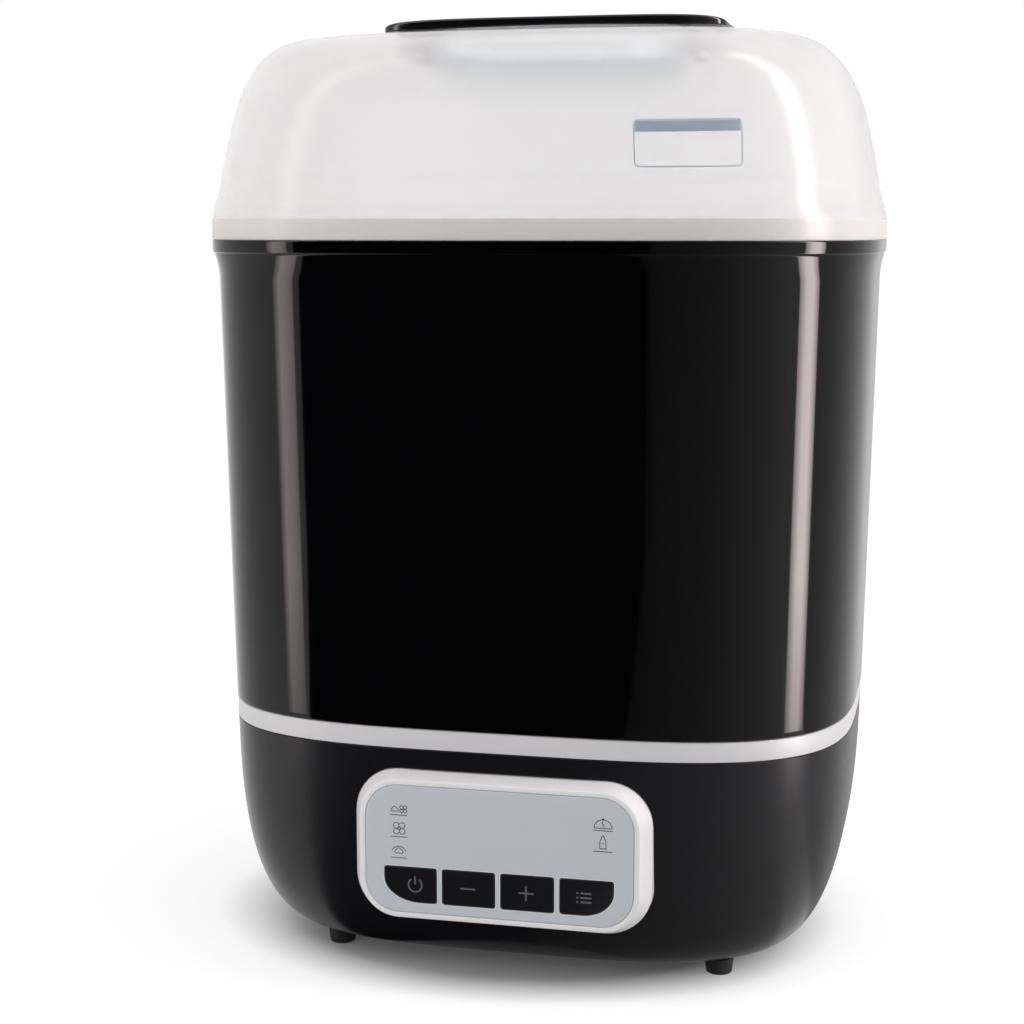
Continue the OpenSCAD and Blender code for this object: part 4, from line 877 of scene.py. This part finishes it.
def build_lid():
    inner = [crown_ring(0.3, LID_TOP - LID_WALL)]
    inner += [plan_ring(*p) for p in reversed(dome_run(LID_WALL, LID_WALL + 4, 26))]
    lip_in = SWEEP_IN + LID_WALL
    lip = rounded([(lip_in, SEAM, 0), (lip_in, SEAM - 3.6, 0.4), (4.7, SEAM - 3.6, 0.3), (4.7, SEAM, 0.3),
                   (0, SEAM, 0.5), (0.3, SEAM + SKIRT_H, 0)])
    sweep = [(0.3 + (SWEEP_IN - 0.3) * ease(k / 12), SEAM + SKIRT_H + SWEEP_H * k / 12) for k in range(1, 12)]
    outer = [plan_ring(*p) for p in dome_run(0, 0, 40)]
    edge = [crown_ring(WELL_EDGE * math.sin(q), LID_TOP - WELL_EDGE * (1 - math.cos(q))) for q in QUARTER]
    rings = inner + plan_rings(lip + sweep) + outer + edge + [crown_ring(0.3, LID_TOP - WELL_EDGE)]
    dome = make_piece("lid_dome", skin(rings, closed=True), lid_frost, "lid", ["lid_shell"],
                      crease=45)
    low, high, bore = LID_TOP - 4.5, grip_low.z - 0.02, 2
    side = rounded([(bore, low, 0), (PAD_R, low, 0.6), (PAD_R, high, 0.4), (bore, high, 0)])
    pads = [skin(circle_rings(side, (sx * PAD_X, sy * PAD_Y), 40), closed=True)
            for sx in (-1, 1) for sy in (-1, 1)]
    stands = make_piece("grip_pads", joined(*pads), pad_frost, "lid")
    for clear in (dome, stands, build_well()):
        clear.visible_shadow = False


def build_well():
    """Cup under the grip, with a drain slot row in its floor."""
    top = LID_TOP - WELL_EDGE - 0.05
    draft, fillet = WELL_EDGE + 1, 4
    under = [crown_ring(draft + fillet * math.sin(q) - LID_WALL,
                        WELL_Z + fillet * (1 - math.cos(q)) - LID_WALL) for q in reversed(QUARTER)]
    floor = [crown_ring(draft + fillet * (1 - math.cos(q)), WELL_Z + fillet * (1 - math.sin(q)))
             for q in QUARTER]
    rings = under + [crown_ring(0.3, top), crown_ring(WELL_EDGE, top)] + floor
    cup = make_piece("lid_cup", skin(rings), well_frost, "lid", ["lid_well"], crease=45)
    slots = [upright(slot_outline(9 * (i - 3), 0, 3, 34), WELL_Z - 4, WELL_Z + 2) for i in range(7)]
    carve(cup, joined(*slots), crease=45)
    return cup


def build_grip():
    """Slim bar with squared sides that thins towards both ends."""
    half, half_w, thick = grip_high.x, grip_high.y, grip_high.z - grip_low.z
    sections = 84
    rings = []
    for i in range(1, sections):
        s = math.sin(math.pi / 2 * (2 * i / sections - 1))
        height = thick * (1 - abs(s) ** 4) ** 0.25
        width = half_w * (1 - abs(s) ** 8) ** 0.125
        foot = max(0.0, 1 - (s * half / (PAD_X - PAD_R)) ** 2)
        low, top = grip_low.z + foot, grip_low.z + height
        section = rounded([(width, low, 0.6), (width, top, 1.3), (-width, top, 1.3), (-width, low, 0.6)],
                          closed=True, steps=6)
        rings.append([(half * s, y, z) for y, z in section])
    make_piece("grip_bar", skin(rings), grip_gloss, "lid", ["lid_grip"], crease=60)


def lid_back(x, z):
    """Depth of the lid's rear wall, on its inside, at a place (x, z) of its dome."""
    up = min(max((z - DOME_Z) / (DOME_H - LID_WALL), 0.0), 1.0)
    reach = 1 - math.cos(math.asin(up ** 2)) ** 0.5
    start = SWEEP_IN + LID_WALL + DOME_LEAN * up
    slack = LID_WALL + 4
    a = RIM_X - start - (DOME_ROUND_X - slack) * reach
    b = RIM_Y - start - (DOME_ROUND_Y - slack) * reach
    return b * (1 - abs(x / a) ** PLAN_POWER) ** (1 / PLAN_POWER)


def on_lid_back(shape):
    return [(x, lid_back(x, z) - 0.06, z) for x, z in shape[0]], shape[1]


def grid_bar(x0, z0, x1, z1, steps=16):
    corners = [(x0 + (x1 - x0) * k / steps, z) for z in (z0, z1) for k in range(steps + 1)]
    faces = [(k, k + 1, steps + 2 + k, steps + 1 + k) for k in range(steps)]
    return corners, faces


def build_lid_frame():
    """Blank printed frame on the rear of the lid."""
    x0, x1, z0, z1 = 14.2, 65.0, 325.6, 346.9
    middle = ((x0 + x1) / 2, (z0 + z1) / 2)
    ring = [(middle[0] + x, middle[1] + z) for x, z in round_outline(x1 - x0, z1 - z0, [2.5] * 4, 6)]
    dense = []
    for a, b in zip(ring, ring[1:] + ring[:1]):
        pieces = max(1, int(math.dist(a, b) / 3))
        dense += [tuple(p + (q - p) * k / pieces for p, q in zip(a, b)) for k in range(pieces)]
    shapes = [on_lid_back(stroke(dense, 0.5, closed=True)),
              on_lid_back(grid_bar(x0 + 0.6, z1 - 5.4, x1 - 0.6, z1 - 0.5))]
    make_piece("lid_frame", joined(*shapes), print_blue, "lid")


# Finishes of the solids that stay

def dress_solids():
    finishes = {
        pale_plastic: ["vent_hood"],
        rack_plastic: ["bottle_rack", "accessory_tray", "impeller"],
        dish_steel: ["heating_plate"],
        seal_rubber: ["plate_seal"],
        heater_metal: ["air_heater", "heating_element"],
        screw_steel: ["base_screws", "plate_clamps", "clamp_screws", "fan_shaft", "motor_screws",
                      "fan_screws", "control_screws", "power_screws"],
        grip_steel: ["grip_screws"],
        inner_plastic: ["control_thermostat", "fan_scroll", "fan_cover", "air_duct", "key_switches"],
        thermostat_brown: ["safety_thermostat"],
        sensor_brass: ["temperature_sensor"],
        motor_can: ["fan_motor"],
        filter_felt: ["filter_pad"],
        display_white: ["display_module"],
        control_green: ["control_board"],
        power_tan: ["power_board"],
        relay_blue: ["relay"],
        tape_yellow: ["transformer"],
        sleeve_blue: ["capacitor"],
        terminal_green: ["terminal_block"],
        foot_rubber: ["cord_gland", "gland_nut"],
    }
    for finish, nodes in finishes.items():
        for node in nodes:
            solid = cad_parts[node]
            if not solid.material_slots:
                solid.data.materials.append(finish)
            for place in solid.material_slots:
                place.material = finish
            edge = solid.modifiers.new("edge", "BEVEL")
            edge.width = 0.0003
            edge.segments = 2
            edge.limit_method = "ANGLE"
            edge.angle_limit = math.radians(38)


# Stage: camera, floor, world and lamps

def build_camera():
    camera = bpy.data.cameras.new("camera")
    camera.sensor_width = 36
    camera.lens = 69.66
    camera.clip_start, camera.clip_end = 0.05, 30
    eye = bpy.data.objects.new("camera", camera)
    bpy.context.scene.collection.objects.link(eye)
    eye.location = (0.1711, -0.8266, 0.2969)
    eye.rotation_mode = "QUATERNION"
    eye.rotation_quaternion = Vector((-0.2235, 0.9644, -0.1416)).to_track_quat("-Z", "Y")
    bpy.context.scene.camera = eye


def seen_mask(tree):
    """1 for camera, glossy and transmission rays."""
    path = add(tree, "ShaderNodeLightPath")
    first = add(tree, "ShaderNodeMath", operation="MAXIMUM")
    second = add(tree, "ShaderNodeMath", operation="MAXIMUM")
    wire(tree, (path.outputs["Is Camera Ray"], first.inputs[0]),
         (path.outputs["Is Glossy Ray"], first.inputs[1]), (first.outputs[0], second.inputs[0]),
         (path.outputs["Is Transmission Ray"], second.inputs[1]))
    return second.outputs[0]


def build_world():
    """White where it is seen; as a light, brighter overhead than at the sides."""
    world = bpy.data.worlds.new("studio")
    bpy.context.scene.world = world
    world.use_nodes = True
    tree = world.node_tree
    back = tree.nodes["Background"]
    back.inputs["Color"].default_value = (1, 1, 1, 1)
    way = add(tree, "ShaderNodeSeparateXYZ")
    wire(tree, (add(tree, "ShaderNodeTexCoord").outputs["Generated"], way.inputs["Vector"]))
    light = ranged(tree, way.outputs["Z"], 0.25, 1.0)
    level = add(tree, "ShaderNodeMix")
    level.inputs[3].default_value = 1.0
    wire(tree, (seen_mask(tree), level.inputs[0]), (light, level.inputs[2]),
         (level.outputs[0], back.inputs["Strength"]))


def floor_finish():
    """Pale floor whose glow is held low near the object and rises to white farther out: painted shadow round
    the object on top of its real shadow, with the middle set a little to the left so the painted shadow
    reaches farther there.
    """
    finish, tree, surface = new_finish("studio_floor", Base_Color=(0.7, 0.7, 0.7, 1), Roughness=0.9,
                                       Specular_IOR_Level=0.0, Emission_Color=(1, 1, 1, 1))
    # Painted shadow: the glow for seen rays grows from 0.04 to 0.5 between 0.78 and 1.02 rim widths from a
    # point a little left of the object's middle.
    share = add(tree, "ShaderNodeVectorMath", operation="MULTIPLY_ADD")
    share.inputs[1].default_value = (1000 / RIM_X, 1000 / RIM_Y, 0)
    share.inputs[2].default_value = (0.1, 0, 0)
    reach = add(tree, "ShaderNodeVectorMath", operation="LENGTH")
    glow = ranged(tree, reach.outputs["Value"], 0.04, 0.5, 0.78, 1.02)
    shown = add(tree, "ShaderNodeMath", operation="MULTIPLY")
    wire(tree, (add(tree, "ShaderNodeTexCoord").outputs["Object"], share.inputs[0]),
         (share.outputs[0], reach.inputs[0]), (glow, shown.inputs[0]), (seen_mask(tree), shown.inputs[1]),
         (shown.outputs[0], surface.inputs["Emission Strength"]))
    return finish


def stage_mesh(name, corners, faces, finish):
    mesh = bpy.data.meshes.new(name)
    mesh.from_pydata(corners, [], faces)
    mesh.materials.append(finish)
    thing = bpy.data.objects.new(name, mesh)
    bpy.context.scene.collection.objects.link(thing)
    return thing


def build_floor():
    rim = [(x, y, -0.0002) for x, y in circle(4, steps=96)]
    stage_mesh("floor", rim, [tuple(range(len(rim)))], floor_finish())


def card_finish(name, colour):
    """Plain card whose shade is given at each of its corners."""
    finish = bpy.data.materials.new(name)
    finish.use_nodes = True
    tree = finish.node_tree
    tree.nodes.clear()
    out = add(tree, "ShaderNodeOutputMaterial")
    glow = add(tree, "ShaderNodeEmission", Color=colour)
    shade = add(tree, "ShaderNodeAttribute", attribute_name="shade")
    wire(tree, (shade.outputs["Fac"], glow.inputs["Strength"]), (glow.outputs[0], out.inputs["Surface"]))
    return finish


def studio_card(name, start, stop, profile, shades, finish):
    """Curved card round the object, from a profile of (radius, height, tone), that only reflections show."""
    steps = 24
    corners, levels = [], []
    for radius, z, tone in profile:
        for k in range(steps + 1):
            a = math.radians(start + (stop - start) * k / steps)
            corners.append((radius * math.sin(a), -radius * math.cos(a), z))
            place = k / steps * (len(shades) - 1)
            i = min(int(place), len(shades) - 2)
            levels.append(tone * (shades[i] + (shades[i + 1] - shades[i]) * (place - i)))
    row = steps + 1
    faces = [(r * row + k, r * row + k + 1, r * row + row + k + 1, r * row + row + k)
             for r in range(len(profile) - 1) for k in range(steps)]
    card = stage_mesh(name, corners, faces, finish)
    card.data.attributes.new("shade", "FLOAT", "POINT").data.foreach_set("value", levels)
    card.visible_camera = card.visible_diffuse = card.visible_transmission = card.visible_shadow = False


def build_cards():
    grey = card_finish("card_grey", (1, 1, 1, 1))
    warm = card_finish("card_warm", (1, 0.87, 0.88, 1))
    # Along the floor rows the tone falls to 0.3 close to the object: painted shadow, so reflections show the
    # floor darker next to it.
    wall = [(0.09, 0.0004, 0.3), (0.16, 0.0004, 0.75), (0.3, 0.0004, 1), (1.0, 0.0004, 1), (1.0, 1.3, 1)]
    studio_card("card_front", -45.5, 4, wall, [0.012, 0.012], grey)
    studio_card("card_right", 4, 65, wall, [0.16, 0.36, 0.66, 1.1], grey)
    studio_card("card_side", 84, 175, wall, [0.66, 0.66], grey)
    strip = [(0.448, 0.011, 0.6), (0.448, 0.1, 1), (0.448, 0.75, 1), (0.4, 1.0, 1), (0.3, 1.2, 1)]
    studio_card("card_strip_left", -56, -46.5, strip, [2.0, 7.0, 6.0, 4.4], warm)
    studio_card("card_strip_right", 66.5, 82, strip, [8.0, 22.0, 22.0, 7.0], warm)


def strip_lamp(name, x, y, width, low, high, level, tilt):
    lamp = bpy.data.lights.new(name, "AREA")
    lamp.shape = "RECTANGLE"
    lamp.size, lamp.size_y = width, high - low
    lamp.energy = level * math.pi * width * (high - low)
    thing = bpy.data.objects.new(name, lamp)
    bpy.context.scene.collection.objects.link(thing)
    thing.location = (x, y, (low + high) / 2)
    aim = Vector((-x, -y, 0)).normalized()
    aim.z = -math.tan(math.radians(tilt))
    thing.rotation_mode = "QUATERNION"
    thing.rotation_quaternion = aim.normalized().to_track_quat("-Z", "Y")
    thing.visible_camera = thing.visible_glossy = False


def build_stage():
    bpy.context.scene.view_settings.view_transform = "Standard"
    bpy.context.scene.cycles.transparent_max_bounces = 32
    build_camera()
    build_world()
    build_floor()
    build_cards()
    strip_lamp("strip_left", -0.36, -0.46, 0.13, -0.02, 0.9, 2.6, 16)
    strip_lamp("strip_right", 0.56, -0.08, 0.14, -0.02, 0.9, 4.6, 16)


build_stage()
build_base()
build_feet()
build_deck()
build_filter_door()
build_panel()
build_keys()
build_panel_marks()
build_key_marks()
build_chamber()
build_lid()
build_grip()
build_lid_frame()
dress_solids()
